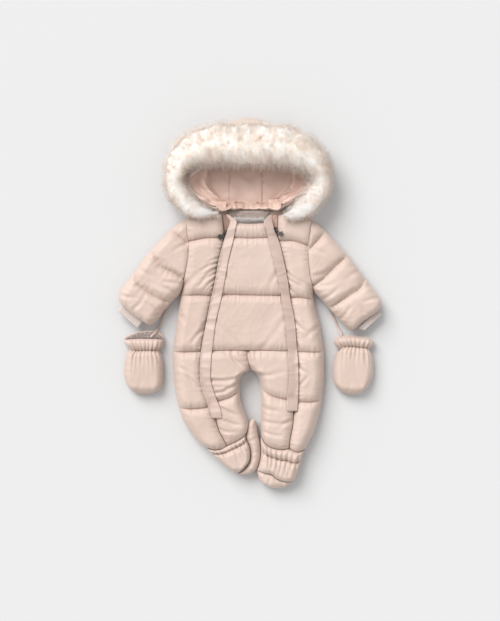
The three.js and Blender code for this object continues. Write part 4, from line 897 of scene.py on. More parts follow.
# Plackets: flat strips laid over the zips, at heights found by looking straight down on what lies there
placketRows = {
    "left": [
        (197, -52.5, -50), (190, -48.5, -38.5), (182, -44, -29), (161, -50, -32), (140, -57, -36),
        (95, -69, -47),
        (50, -77, -55), (5, -87, -64), (-41, -96, -75), (-86, -105, -81), (-131, -111, -86),
        (-176, -111, -87),
        (-198, -106, -81), (-221, -98, -73), (-243, -90, -64), (-261, -84, -62)],
    "right": [
        (194, 42, 45.5), (188, 37, 49), (182, 32, 51), (161, 37, 56), (140, 43, 65), (95, 53, 76.5),
        (50, 64, 85.5), (5, 72, 92), (-41, 79, 101), (-86, 84, 105), (-131, 87, 109), (-176, 88, 110),
        (-221, 84, 109), (-245, 84, 107)]}
placketForm = {"thickness": 1.9, "clear": 0.7, "reach": 3.5, "slope": 0.3, "least": 30, "edgeRound": 1.4}


def lookDown(pieces):
    trees = []
    for piece in pieces:
        work = bmesh.new()
        work.from_mesh(piece.data)
        trees.append(BVHTree.FromBMesh(work))
        work.free()

    def height(x, y):
        hits = [tree.ray_cast(Vector((x * mm, y * mm, 1)), Vector((0, 0, -1)))[0] for tree in trees]
        return max([hit.z / mm for hit in hits if hit], default=0)

    return height


placketBends = {  # distance from the upper end, slant, width, height
    "left": [(38, 0.3, 4, 0.9), (84, -0.2, 5, 1.2), (131, 0.4, 4, 1.4), (150, 0.2, 3, 0.8),
        (196, -0.3, 5, 1.1),
             (243, 0.2, 4, 1.3), (262, 0.5, 3, 0.9), (318, -0.2, 5, 1.0), (352, 0.3, 4, 0.9)],
    "right": [(46, -0.3, 4, 1.0), (97, 0.3, 5, 1.2), (142, -0.4, 3, 1.3), (158, -0.2, 4, 0.9),
        (214, 0.3, 5, 1.1),
              (266, -0.2, 4, 1.2), (311, 0.4, 4, 0.9), (348, -0.3, 5, 1.0)]}


def placketPiece(side, rows):
    a = smoothLine([(row[1], row[0]) for row in rows])
    b = smoothLine([(row[2], row[0]) for row in rows])
    places = np.linspace(0, 1, 230)
    across = np.array([0, 0.02, 0.06, 0.12, 0.2, 0.35, 0.5, 0.65, 0.8, 0.88, 0.94, 0.98, 1])
    left, right = at(a, places), at(b, places)
    flat = left[:, None] * (1 - across[None, :, None]) + right[:, None] * across[None, :, None]
    width = np.linalg.norm(right - left, axis=1)
    height = lookDown(frontPieces.values())
    reach = placketForm["reach"]
    around = [(0, 0), (reach, 0), (-reach, 0), (0, reach), (0, -reach)]
    lowest = np.array([[max(height(x + dx, y + dy) for dx, dy in around) for x, y in row] for row in flat])
    lowest = np.maximum(lowest, placketForm["least"])
    step = np.linalg.norm(np.diff(left, axis=0), axis=1).mean()
    sideStep = np.diff(across)[None] * width[:, None]
    for _ in range(60):
        drop = placketForm["slope"] * step
        lowest[1:] = np.maximum(lowest[1:], lowest[:-1] - drop)
        lowest[:-1] = np.maximum(lowest[:-1], lowest[1:] - drop)
        lowest[:, 1:] = np.maximum(lowest[:, 1:], lowest[:, :-1] - placketForm["slope"] * sideStep)
        lowest[:, :-1] = np.maximum(lowest[:, :-1], lowest[:, 1:] - placketForm["slope"] * sideStep)
    smooth = lowest.copy()
    for _ in range(6):
        padded = np.pad(smooth, ((1, 1), (0, 0)), mode="edge")
        smooth = (padded[:-2] + padded[1:-1] + padded[2:]) / 3
    lowest = np.maximum(lowest, smooth) + placketForm["clear"]
    edge = np.minimum(across, 1 - across)[None] * width[:, None]
    ends = np.minimum(places, 1 - places)[:, None] * np.linalg.norm(np.diff(a, axis=0), axis=1).sum()
    fromEdge = np.minimum(edge, ends)
    body = placketForm["thickness"] * (0.45 + 0.55 * rise(fromEdge, placketForm["edgeRound"]))
    stitchDip = 0.45 * np.exp(-((fromEdge - 2.6) / 0.9) ** 2)
    wave = 0.25 * unevenness(flat[..., 0], flat[..., 1], 30, 40 + len(rows))
    length = np.linalg.norm(np.diff(a, axis=0), axis=1).sum()
    down, over = places[:, None] * length, across[None] * width[:, None]
    for place, slant, reach, high in placketBends[side]:
        wave = wave + high * np.exp(-((down - place - slant * over) / reach) ** 2)
    upper = np.dstack([flat, lowest + body - stitchDip + wave])
    lower = np.dstack([flat, lowest + wave])
    piece = link(f"placket{side.title()}", shellOf(f"placket{side.title()}", upper, lower))
    finishPiece(piece, strapCloth, "suit", [f"placket_{side}"])
    for name, other, line in (("left", b, a), ("right", a, b)):
        share = 2.6 / width
        kept = at(line, places) * (1 - share[:, None]) + at(other, places) * share[:, None]
        seamPaths.append({"points": kept[3:-4], "on": piece.name, "pitch": 3.0})


for side, rows in placketRows.items():
    placketPiece(side, rows)
print("plackets laid")

# Linings at the neck
backNeck = {
    "left": smoothLine([(-50, 206), (-44.5, 200), (-38, 188.5)]),
    "right": smoothLine([(50, 206), (44.5, 200), (36, 188.5)]),
    "top": smoothLine([(-50, 206), (0, 205.6), (50, 206)]),
    "bottom": smoothLine([(-38, 188.5), (0, 188), (36, 188.5)])}
frontNeck = {
    "left": smoothLine([(-35, 187.4), (-35.5, 184), (-36, 181.6)]),
    "right": smoothLine([(33, 187.4), (36, 184), (38, 181.6)]),
    "top": smoothLine([(-35, 187.4), (0, 186.6), (33, 187.4)]),
    "bottom": smoothLine([(-36, 181.6), (-18, 179.6), (1, 178.7), (24, 179.6), (38, 181.6)])}


def allSides(depth, reach):
    return {side: (depth, reach) for side in ("left", "right", "top", "bottom")}


fleecePieces = {
    "backNeckLining": paddedPiece({
        "name": "backNeckLining", "nodes": ["back_neck_lining"], "seed": 31, "edges": backNeck,
        "sides": allSides(0.5, 4), "rows": [], "flat": onBack, "loft": 3.4, "step": 1.6, "detail": 0.3,
        "material": greigeFleece, "slot": "fleece", "fill": 0.3}),
    "frontNeckLining": paddedPiece({
        "name": "frontNeckLining", "nodes": ["front_neck_lining"], "seed": 33, "edges": frontNeck,
        "sides": allSides(0.6, 3), "rows": [], "flat": onBack, "loft": 15, "step": 1.2, "detail": 0.3,
        "material": whiteFleece, "slot": "fleece", "fill": 0.3})}

# Hood: its section at each angle round the middle, as in the solids
hoodMiddle = np.array([1, 270])
hoodForm = np.array([  # angle, radius on the ground, at the fullest part and at the rim, height of the rim
    (-90, 46, 56, 62.4, 11), (-72, 49, 59, 65.4, 17), (-55, 56, 68, 76, 27), (-45, 60, 78, 92, 37),
    (-22, 72, 112, 104, 48), (-5, 84, 142, 131, 48), (13, 90, 147, 111, 58), (34, 94, 146, 76, 66),
    (50, 97, 146, 60, 67), (71, 99, 160, 51, 68), (90, 100, 168, 47, 68), (111, 99, 166, 51, 68),
    (130, 97, 147, 60, 67), (146, 94, 146, 76, 66), (166, 90, 149, 116, 58), (182, 84, 152, 144, 48),
    (205, 74, 120, 112, 48), (225, 60, 78, 94, 37), (235, 56, 68, 76, 27), (252, 49, 59, 65.4, 17),
    (270, 46, 56, 62.4, 11)], float)
hoodLayers = {"shell": 6, "gap": 2, "lining": 3}
hoodSeams = {"left": -46, "right": 28}


def hoodSurface(inset, angles, steps, shape=None):
    k = np.clip(np.searchsorted(hoodForm[:, 0], angles), 1, len(hoodForm) - 1)
    before, after = hoodForm[k - 1], hoodForm[k]
    t = ((angles - before[:, 0]) / (after[:, 0] - before[:, 0]))[:, None]
    t = t * 0.5 + (t * t * (3 - 2 * t)) * 0.5
    ground, belly, rim, height = ((before + (after - before) * t)[:, 1:]).T
    r = np.stack([ground, ground + (belly - ground) * 1.02, belly * 1.05, rim])
    z = np.stack([0 * ground, 0 * ground, height * 0.95, height])
    t = np.linspace(0, 1, steps)[:, None]
    weights = ((1 - t) ** 3, 3 * (1 - t) ** 2 * t, 3 * (1 - t) * t ** 2, t ** 3)
    radius = sum(w * q for w, q in zip(weights, r))
    up = sum(w * q for w, q in zip(weights, z))
    dr, dz = np.gradient(radius, axis=0), np.gradient(up, axis=0)
    length = np.hypot(dr, dz)
    inRadius, inUp = -dz / length, dr / length
    inRadius[0], inUp[0] = 0, 1
    turn = np.radians(angles)
    radius = radius + inRadius * inset
    up = np.maximum(up + inUp * inset, inset)
    if shape is not None:
        # Even out the tight bends first, so that the folds don't cross there
        for _ in range(40):
            radius[1:-1] = (radius[:-2] + 2 * radius[1:-1] + radius[2:]) / 4
            up[1:-1] = (up[:-2] + 2 * up[1:-1] + up[2:]) / 4
        dr, dz = np.gradient(radius, axis=0), np.gradient(up, axis=0)
        length = np.maximum(np.hypot(dr, dz), 1e-6)
        push = np.maximum(shape(radius, turn, up), -2.2) * fade(t, 0, 0.14)
        radius = radius - dz / length * push
        up = np.maximum(up + dr / length * push, inset)
    wall = np.dstack([hoodMiddle[0] + radius * np.cos(turn), hoodMiddle[1] + radius * np.sin(turn), up])
    shares = np.linspace(0.02, 1, 12)[:-1, None, None]
    centre = np.array([*hoodMiddle, inset])
    floor = centre + (wall[:1] - centre) * shares
    if shape is not None:
        slack = 1.5 * (1 + unevenness(floor[..., 0], floor[..., 1], 34, 57)) * fade(shares[..., 0], 1, 0.8)
        floor[..., 2] += np.clip(slack, 0, 4)
    return np.concatenate([floor, wall])


def bowlMesh(name, outer, inner):
    rows, columns = outer.shape[:2]
    points = np.vstack([outer.reshape(-1, 3), inner.reshape(-1, 3)])
    a = np.arange(rows * columns).reshape(rows, columns)
    b = a + rows * columns
    faces = []
    for first, second in [*zip(a, a[1:]), *zip(b, b[1:]), (a[-1], b[-1])]:
        faces += np.stack([first, np.roll(first, -1), np.roll(second, -1), second], axis=-1).tolist()
    faces += [a[0].tolist(), b[0].tolist()]
    return faceOut(meshOf(name, points, faces))


def cutAcross(mesh, low, high):
    work = bmesh.new()
    work.from_mesh(mesh)
    for x, side in ((low, -1), (high, 1)):
        if x is None:
            continue
        everything = work.verts[:] + work.edges[:] + work.faces[:]
        cut = bmesh.ops.bisect_plane(
            work, geom=everything, plane_co=(x * mm, 0, 0), plane_no=(side, 0, 0), clear_outer=True,
            dist=1e-7)
        rim = [item for item in cut["geom_cut"] if isinstance(item, bmesh.types.BMEdge)]
        filled = bmesh.ops.triangle_fill(work, edges=rim, use_beauty=True)
        for face in filled["geom"]:
            if isinstance(face, bmesh.types.BMFace):
                face.smooth = False
    bmesh.ops.recalc_face_normals(work, faces=work.faces)
    work.to_mesh(mesh)
    work.free()
    return mesh


hoodAngles = -90 + 360 * np.arange(360) / 360
hoodParts = [
    ("side_left", "HoodLeft", None, hoodSeams["left"] - half),
    ("centre", "HoodCentre", hoodSeams["left"] + half, hoodSeams["right"] - half),
    ("side_right", "HoodRight", hoodSeams["right"] + half, None)]


def seamDip(x, depth, reach):
    near = np.minimum(np.abs(x - hoodSeams["left"]), np.abs(x - hoodSeams["right"]))
    return depth * (1 - rise(near, reach))


def shellShape(radius, turn, up):
    x = hoodMiddle[0] + radius * np.cos(turn)
    y = hoodMiddle[1] + radius * np.sin(turn)
    return seamDip(x, 2.2, 12) + 0.5 * unevenness(x + up, y - up, 60, 51) * fade(up, 1, 8)


# The lining is slack. Its sides lie turned out as flaps: each ends in a fold over the deep middle part.
liningFolds = {  # the fold, which side of it is raised, and how far
    "left": {"line": smoothLine([(-93, 296), (-82, 259), (-66, 236), (-47, 212)]), "sign": 1, "lift": 21},
    "right": {"line": smoothLine([(72, 296), (67, 263), (58, 245), (44, 218)]), "sign": -1, "lift": 21}}
liningCreases = [  # from, to, width, depth
    (-104, 282, -80, 248, 3.4, 3.0), (-122, 270, -98, 238, 3.4, 2.6), (-84, 250, -76, 224, 3.0, 2.6),
    (-116, 258, -90, 250, 3.0, 2.0), (-136, 262, -112, 250, 3.0, 1.8), (-100, 232, -84, 218, 3.0, 2.0),
    (74, 254, 118, 266, 3.4, 3.0), (80, 238, 120, 254, 3.4, 2.8), (72, 232, 92, 218, 3.0, 2.2),
    (78, 262, 104, 280, 3.4, 2.2), (76, 226, 78, 250, 3.0, 2.0), (96, 232, 108, 246, 3.0, 2.0),
    (-48, 209, -64, 250, 3.0, 2.8), (-36, 209, -52, 240, 3.0, 2.6), (-24, 209, -38, 232, 3.0, 2.0),
    (-10, 209, -14, 232, 3.2, 1.8), (8, 209, 14, 230, 3.2, 1.6), (24, 209, 30, 226, 3.0, 1.6),
    (38, 209, 50, 236, 3.0, 2.4), (48, 212, 60, 250, 3.0, 2.6)]
liningGathers = [(-50, 207), (52, 207)]


def liningShape(radius, turn, up):
    x = hoodMiddle[0] + radius * np.cos(turn)
    y = hoodMiddle[1] + radius * np.sin(turn)
    push = -seamDip(x, 1.6, 9) + 0.7 * unevenness(x, y + up, 50, 53) + 0.5 * unevenness(x, y + up, 24, 54)
    for cx, cy in liningGathers:
        away = np.hypot(x - cx, y - cy)
        angle = np.arctan2(y - cy, x - cx)
        near = np.exp(-(away / 30) ** 2) * fade(away, 1, 9)
        push = push + np.cos(9 * angle + 0.4 * np.sin(away / 9)) * near
    for fold in liningFolds.values():
        off, along = offLine(fold["line"], x, y)
        off = off * fold["sign"]
        raised = fade(off, -1.8, 1.8) * (1 - fade(off, 8, 56))
        hollow = np.exp(-((off + 4.5) / 4) ** 2) * 5
        push = push + (fold["lift"] * raised - hollow) * fade(y, 212, 234)
    return push + creases(x, y, liningCreases) * fade(y, 208, 216)


hoodDetail = {"rows": 40, "liningRows": 60}
shellOuter = hoodSurface(0, hoodAngles, hoodDetail["rows"], shellShape)
shellInner = hoodSurface(hoodLayers["shell"], hoodAngles, hoodDetail["rows"])
liningFrom = hoodLayers["shell"] + hoodLayers["gap"]
liningOuter = hoodSurface(liningFrom, hoodAngles, hoodDetail["liningRows"])
liningInner = hoodSurface(liningFrom + hoodLayers["lining"], hoodAngles, hoodDetail["liningRows"],
    liningShape)
for node_, title, low, high in hoodParts:
    gridA, gridB = shellOuter, shellInner
    shellPiece = link("shell" + title, cutAcross(bowlMesh("shell" + title, gridA, gridB), low, high))
    finishPiece(shellPiece, nylon, "suit", [f"hood_{node_}"])
    gridA, gridB = liningOuter, liningInner
    liningPiece = link("lining" + title, cutAcross(bowlMesh("lining" + title, gridA, gridB), low, high))
    finishPiece(liningPiece, satin, "suit", [f"hood_lining_{node_}"])
print("hood made")

# Bootees: a sole on the surface, a vamp gathered at the ankle and a band round the toe
ankleGap = 0.08
bootSeams = {
    "left": smoothLine([
        (-8.3, -297.2), (-8.7, -306), (-0.8, -326), (1.2, -344), (-1.8, -360), (-9.8, -371.2),
        (-23.5, -384.6)]),
    "right": smoothLine([(17, -380), (34, -385), (51, -389), (60, -397), (73, -403), (87, -405),
        (100, -403.5)])}
bootHems = {"left": beside(hemLeft, ankleGap), "right": beside(hemRight, ankleGap)}
bootLeftOuter = [(-97, -330), (-93, -334.5), (-78, -349), (-62, -364), (-46, -376), (-37, -382.5)]
bootLeftHeel = [
    (12, -265), (15.5, -277), (19, -297), (24, -322), (25, -346), (22.5, -360), (15, -378), (6, -385.5),
    (-8, -389)]
bootRightInner = [(25.4, -304.6), (25, -315), (26, -344), (21, -369), (17, -380)]
bootRightOuter = [(125.6, -333.6), (120, -344), (116, -360), (111, -378), (105, -394), (100, -403.5)]
toe = {
    "left": [(21, -396), (30, -409), (42, -416)], "middle": [(42, -416), (55, -420), (71, -420), (84, -416)],
    "right": [(96, -407), (90.5, -412), (84, -416)]}
onSole = padding["backLoft"] + padding["seam"]
bootPieces = [
    {
        "name": "bootSoleLeft", "nodes": ["boot_sole_left"], "seed": 61, "flat": 20, "loft": -20, "edge": 0.6,
        "edges": {
            "left": smoothLine([*bootLeftOuter, (-24, -388)]),
            "right": smoothLine([(-1.3, -272), (5, -264.5), *bootLeftHeel]),
            "top": bootHems["left"], "bottom": smoothLine([(-24, -388), (-16, -389.6), (-8, -389)])},
    },
    {
        "name": "bootSoleRight", "nodes": ["boot_sole_right"], "seed": 62, "flat": 20, "loft": -20,
        "edge": 0.6,
        "edges": {
            "left": smoothLine([*bootRightInner, *toe["left"]]),
            "right": smoothLine([*bootRightOuter, *toe["right"]]),
            "top": bootHems["right"], "bottom": smoothLine(toe["middle"])},
    },
    {
        "name": "bootBandLeft", "nodes": ["boot_band_left"], "seed": 63, "flat": onSole, "loft": 17,
        "edge": 0.86, "sewn": {"left": 0.5},
        "edges": {
            "left": smoothLine([
                (-0.8, -272), (-4.4, -290.5), (-6.5, -297.2), (-6.9, -306), (1.7, -326), (4.1, -344),
                (1, -361.4),
                (-7.6, -373.2), (-22.2, -386.1), (-28, -387.9)]),
            "right": smoothLine([(5, -264.5), *bootLeftHeel, (-23, -388.6)]),
            "top": smoothLine([(-0.8, -272), (2, -268), (5, -264.5)]),
            "bottom": smoothLine([(-28, -387.9), (-25.5, -388.3), (-23, -388.6)])},
        "creases": [(24, -340, 6, -336, 3.4, 1.6), (20, -306, 2, -312, 3.4, 1.4),
            (14, -374, 2, -364, 3.4, 1.4)],
    },
    {
        "name": "bootBandRight", "nodes": ["boot_band_right"], "seed": 64, "flat": onSole, "loft": 16,
        "edge": 0.86, "sewn": {"top": 0.3},
        "edges": {
            "left": smoothLine([(17.2, -381), *toe["left"]]),
            "right": smoothLine([(99.6, -404.6), *toe["right"]]),
            "top": beside(bootSeams["right"], 1.5), "bottom": smoothLine(toe["middle"])},
        "creases": [(40, -412, 46, -394, 3.4, 1.4), (76, -418, 72, -406, 3.0, 1.2)],
    },
    {
        "name": "bootVampLeft", "nodes": ["boot_vamp_left"], "seed": 65, "flat": onSole, "loft": 26,
        "edge": 0.78,
        "sewn": {"right": 0.62},
        "edges": {
            "left": smoothLine([*bootLeftOuter, (-28.5, -386.6)]), "right": bootSeams["left"],
            "top": part(bootHems["left"], 0, shareWhereX(bootHems["left"], -9)),
            "bottom": smoothLine([(-28.5, -386.6), (-26, -385.9), (-23.5, -384.6)])},
        "gathers": {"at": 0.15, "count": 10, "seed": 2, "height": 2.9},
        "creases": [(-58, -340, -40, -372, 3.8, 1.6), (-30, -334, -22, -366, 3.8, 1.6)],
    },
    {
        "name": "bootVampRight", "nodes": ["boot_vamp_right"], "seed": 66, "flat": onSole, "loft": 26,
        "edge": 0.78,
        "sewn": {"bottom": 0.5},
        "edges": {
            "left": smoothLine(bootRightInner), "right": smoothLine(bootRightOuter), "top": bootHems["right"],
            "bottom": bootSeams["right"]},
        "gathers": {"at": 0.36, "count": 9, "seed": 3, "height": 2.9},
        "creases": [(46, -374, 50, -388, 3.4, 1.4), (86, -376, 90, -398, 3.6, 1.4),
            (66, -372, 68, -394, 3.4, 1.2)],
    },
]


# Small pleats under a drawn thread: uneven in width, deepest at the thread and gone a little way off
def gatherPleats(look):
    chance = np.random.default_rng(look["seed"])
    places = np.linspace(0, 1, look["count"] * 2 + 1)
    places[1:-1] += chance.uniform(-0.42, 0.42, len(places) - 2) / (2 * look["count"])
    heights = np.where(np.arange(len(places)) % 2, 1.0, -1.0) * chance.uniform(0.35, 1.25, len(places))
    lengths = chance.uniform(0.5, 1.5, len(places))

    def extra(s, v, x, y):
        t = np.interp(s, places, np.arange(len(places)))
        k = np.minimum(t.astype(int), len(places) - 2)
        soft = (1 - np.cos((t - k) * math.pi)) / 2
        ripple = heights[k] * (1 - soft) + heights[k + 1] * soft
        reach = look["at"] * (lengths[k] * (1 - soft) + lengths[k + 1] * soft)
        near = np.exp(-(np.abs(v - look["at"]) / (0.85 * reach)) ** 2)
        return look.get("height", 2.1) * ripple * near * fade(np.minimum(s, 1 - s), 0, 0.05)

    return extra


for look in bootPieces:
    sides = allSides(look["edge"], 17)
    rows = []
    if "gathers" in look:
        place = look["gathers"]["at"]
        rows = [{"left": place, "right": place, "depth": 0.42, "reach": 13}]
        sides["top"] = (0.4, 10)
        look["extra"] = gatherPleats(look["gathers"])
    else:
        sides["top"] = (look["edge"] * 0.55, 12)
    for side, depth in look.get("sewn", {}).items():
        sides[side] = (depth, 12)
    upsideDown = look["loft"] < 0
    paddedPiece({
        **look, "sides": sides, "rows": rows, "rowsByHeight": False, "step": 3 if upsideDown else 1.5,
        "detail": 0.4 if upsideDown else 0.8})

# Mittens: a back on the surface, a front over it gathered at the wrist, and fleece at the mouth of one
mittenForms = {
    "left": {
        "mouth": [
            (-283, -81), (-273, -74), (-260, -70), (-246, -66), (-231, -65), (-219, -65), (-210, -66),
            (-201, -70), (-193.5, -81)],
        "frontMouth": [(-283, -85), (-260, -83.4), (-240, -82.8), (-215, -83.4), (-194, -85)],
        "sideA": [
            (-282, -94), (-271, -109), (-278, -117), (-281, -130), (-283.5, -148), (-283.5, -164),
            (-280, -180),
            (-276, -189), (-269, -198)],
        "sideB": [
            (-195, -92), (-197, -99), (-205, -109), (-199, -121), (-196, -135), (-195, -157), (-196, -180),
            (-199, -193), (-206, -200)],
        "tip": [(-269, -198), (-260, -204), (-246, -207), (-231, -207.5), (-217, -205), (-206, -200)],
    },
    "right": {
        "mouth": [
            (190, -89), (199, -78.5), (208, -76.5), (226, -75), (240, -76.3), (253, -78), (267, -79.5),
            (282, -89)],
        "frontMouth": [(190.3, -90.5), (199, -81), (226, -77.5), (253, -80.5), (267, -82), (281.5, -90.5)],
        "sideA": [
            (195, -99), (204, -108), (197, -115), (192, -126), (189, -142), (188, -157), (189, -175),
            (192, -184),
            (199, -196)],
        "sideB": [
            (280, -97), (271, -108), (273, -112), (278, -124), (280, -139), (280, -157), (276, -175),
            (269, -189),
            (260, -200)],
        "tip": [(199, -196), (206, -202), (217, -207), (233, -209), (249, -207), (260, -200)],
    },
}
wristY, mittenLoft = -109, 14
mittenCreases = {
    "left": [
        (-262, -120, -268, -150, 4.0, 1.8), (-240, -122, -236, -152, 4.0, 1.6),
        (-214, -120, -210, -146, 4.0, 1.8),
        (-250, -196, -246, -178, 4.0, 1.2), (-222, -198, -226, -180, 4.0, 1.2)],
    "right": [
        (212, -120, 208, -150, 4.0, 1.8), (236, -122, 240, -150, 4.0, 1.6), (260, -120, 266, -146, 4.0, 1.8),
        (222, -200, 226, -182, 4.0, 1.2), (250, -198, 246, -180, 4.0, 1.2)],
}
for side, form in mittenForms.items():
    for wall, mouth, flat, loft in (
            ("back", form["mouth"], mittenLoft, -mittenLoft),
            ("front", form["frontMouth"], mittenLoft + padding["seam"], 21)):
        front = wall == "front"
        edges = {
            "left": smoothLine([mouth[0], *form["sideA"]]), "right": smoothLine([mouth[-1], *form["sideB"]]),
            "top": smoothLine(mouth), "bottom": smoothLine(form["tip"])}
        wrist = {"left": shareAt(edges["left"], wristY), "right": shareAt(edges["right"], wristY)}
        look = {
            "name": f"mitten{wall.title()}{side.title()}", "nodes": [f"mitten_{wall}_{side}"],
            "seed": 70 + len(side) + front, "edges": edges, "flat": flat, "loft": loft,
            "sides": {**allSides(0.92 if front else 0.64, 18), "top": (0.6, 9)},
            "rows": [{**wrist, "depth": 0.5 if front else 0.3, "reach": 14}], "rowsByHeight": False,
            "step": 1.4 if front else 3, "detail": 0.45 if front else 0.3,
            "creases": mittenCreases[side] if front else []}
        if front:
            look["extra"] = gatherPleats({"at": wrist["left"], "count": 9, "seed": 80 + len(side),
                "height": 2.6})
        paddedPiece(look)

mittenMouth = {
    "left": smoothLine([(-279, -80.5), (-280, -82.6), (-281, -84.4)]),
    "right": smoothLine([(-196.5, -80.5), (-196, -82.6), (-195.6, -84.4)]),
    "top": smoothLine([(-279, -80.5), (-260, -72.5), (-246, -68.5), (-231, -67.5), (-212, -68.5),
        (-196.5, -80.5)]),
    "bottom": smoothLine([(-281, -84.4), (-260, -82.9), (-240, -82.2), (-215, -82.9), (-195.6, -84.4)])}
fleecePieces["mittenLining"] = paddedPiece({
    "name": "mittenLining", "nodes": ["mitten_lining_left"], "seed": 91, "edges": mittenMouth,
    "sides": allSides(0.6, 4), "rows": [], "flat": mittenLoft + padding["seam"], "loft": 5, "step": 1.4,
    "detail": 0.3, "material": greigeFleece, "slot": "fleece", "fill": 0.3})
print("bootees and mittens made")

# Flat cords that hold the mittens to the sleeves: x, y and height of the middle
cordForm = {"width": 5, "thickness": 1.6}
cordPaths = {
    "left": [
        (-183, -9, 10), (-194, -29, 2.8), (-201, -45, 2.5), (-206, -57, 6), (-209.5, -63, 15.5),
        (-216, -72, 21.4), (-224, -79, 22)],
    "right": [
        (181, -16, 9.4), (188, -29, 2.8), (195, -45, 2.5), (201, -60, 4), (206, -70, 11), (208, -75.9, 14.2)]}


def cordPiece(side, points):
    path = smoothLine(points)[::4]
    along = np.gradient(path[:, :2], axis=0)
    along /= np.linalg.norm(along, axis=1, keepdims=True)
    sideways = np.column_stack([along[:, 1], -along[:, 0], np.zeros(len(along))])
    halfWidth, halfHeight = cordForm["width"] / 2, cordForm["thickness"] / 2
    profile = [(-1, -0.5), (-0.7, -1), (0.7, -1), (1, -0.5), (1, 0.5), (0.7, 1), (-0.7, 1), (-1, 0.5)]
    rings = [[centre + out * u * halfWidth + np.array([0, 0, w * halfHeight]) for u, w in profile]
             for centre, out in zip(path, sideways)]
    piece = link(f"mittenCord{side.title()}", tubeOf(f"mittenCord{side.title()}", rings))
    finishPiece(piece, strapCloth, "suit", [f"mitten_cord_{side}"])


for side, points in cordPaths.items():
    cordPiece(side, points)

# Fur. Each row: x, y, half its width, height of its middle, reach up and down.
furPath = np.array([
    (-70, 198, 7, 60, 8), (-92, 200, 14, 62, 11), (-121, 206, 23, 63, 15), (-148, 229, 28, 60, 20),
    (-164, 254, 28, 54, 25), (-168, 279, 26, 50, 30), (-156, 313, 34, 54, 32), (-123, 340, 45, 60, 33),
    (-78, 350, 51, 66, 33), (1, 351, 52, 68, 32), (75, 347, 51, 66, 33), (120, 330, 45, 60, 33),
    (152, 301, 34, 54, 32), (160, 270, 29, 50, 28), (148, 240, 29, 56, 23), (123, 213, 27, 62, 16),
    (95, 196, 18, 62, 11), (76, 194, 9, 60, 8)], float)
furForm = {"rings": 420, "around": 56}


def furRoll():
    path = smoothLine(furPath[:, :2])
    near = [int(np.argmin(np.hypot(*(path - row[:2]).T))) for row in furPath]
    places = np.linspace(0, len(path) - 1, furForm["rings"])
    sizes = np.stack([np.interp(places, near, furPath[:, k]) for k in (2, 3, 4)], axis=1)
    for _ in range(3):
        sizes[1:-1] = (sizes[:-2] + sizes[1:-1] + sizes[2:]) / 3
    middle = np.stack([np.interp(places, np.arange(len(path)), path[:, k]) for k in (0, 1)], axis=1)
    along = np.gradient(middle, axis=0)
    along /= np.linalg.norm(along, axis=1, keepdims=True)
    out = np.stack([-along[:, 1], along[:, 0]], axis=1)
    t = np.linspace(0, 1, furForm["rings"])
    end = np.sqrt(np.minimum(1, 0.16 + 0.84 * rise(np.minimum(t, 1 - t), 0.05)))
    return middle, out, sizes, end


furMiddle, furOut, furSizes, furEnds = furRoll()


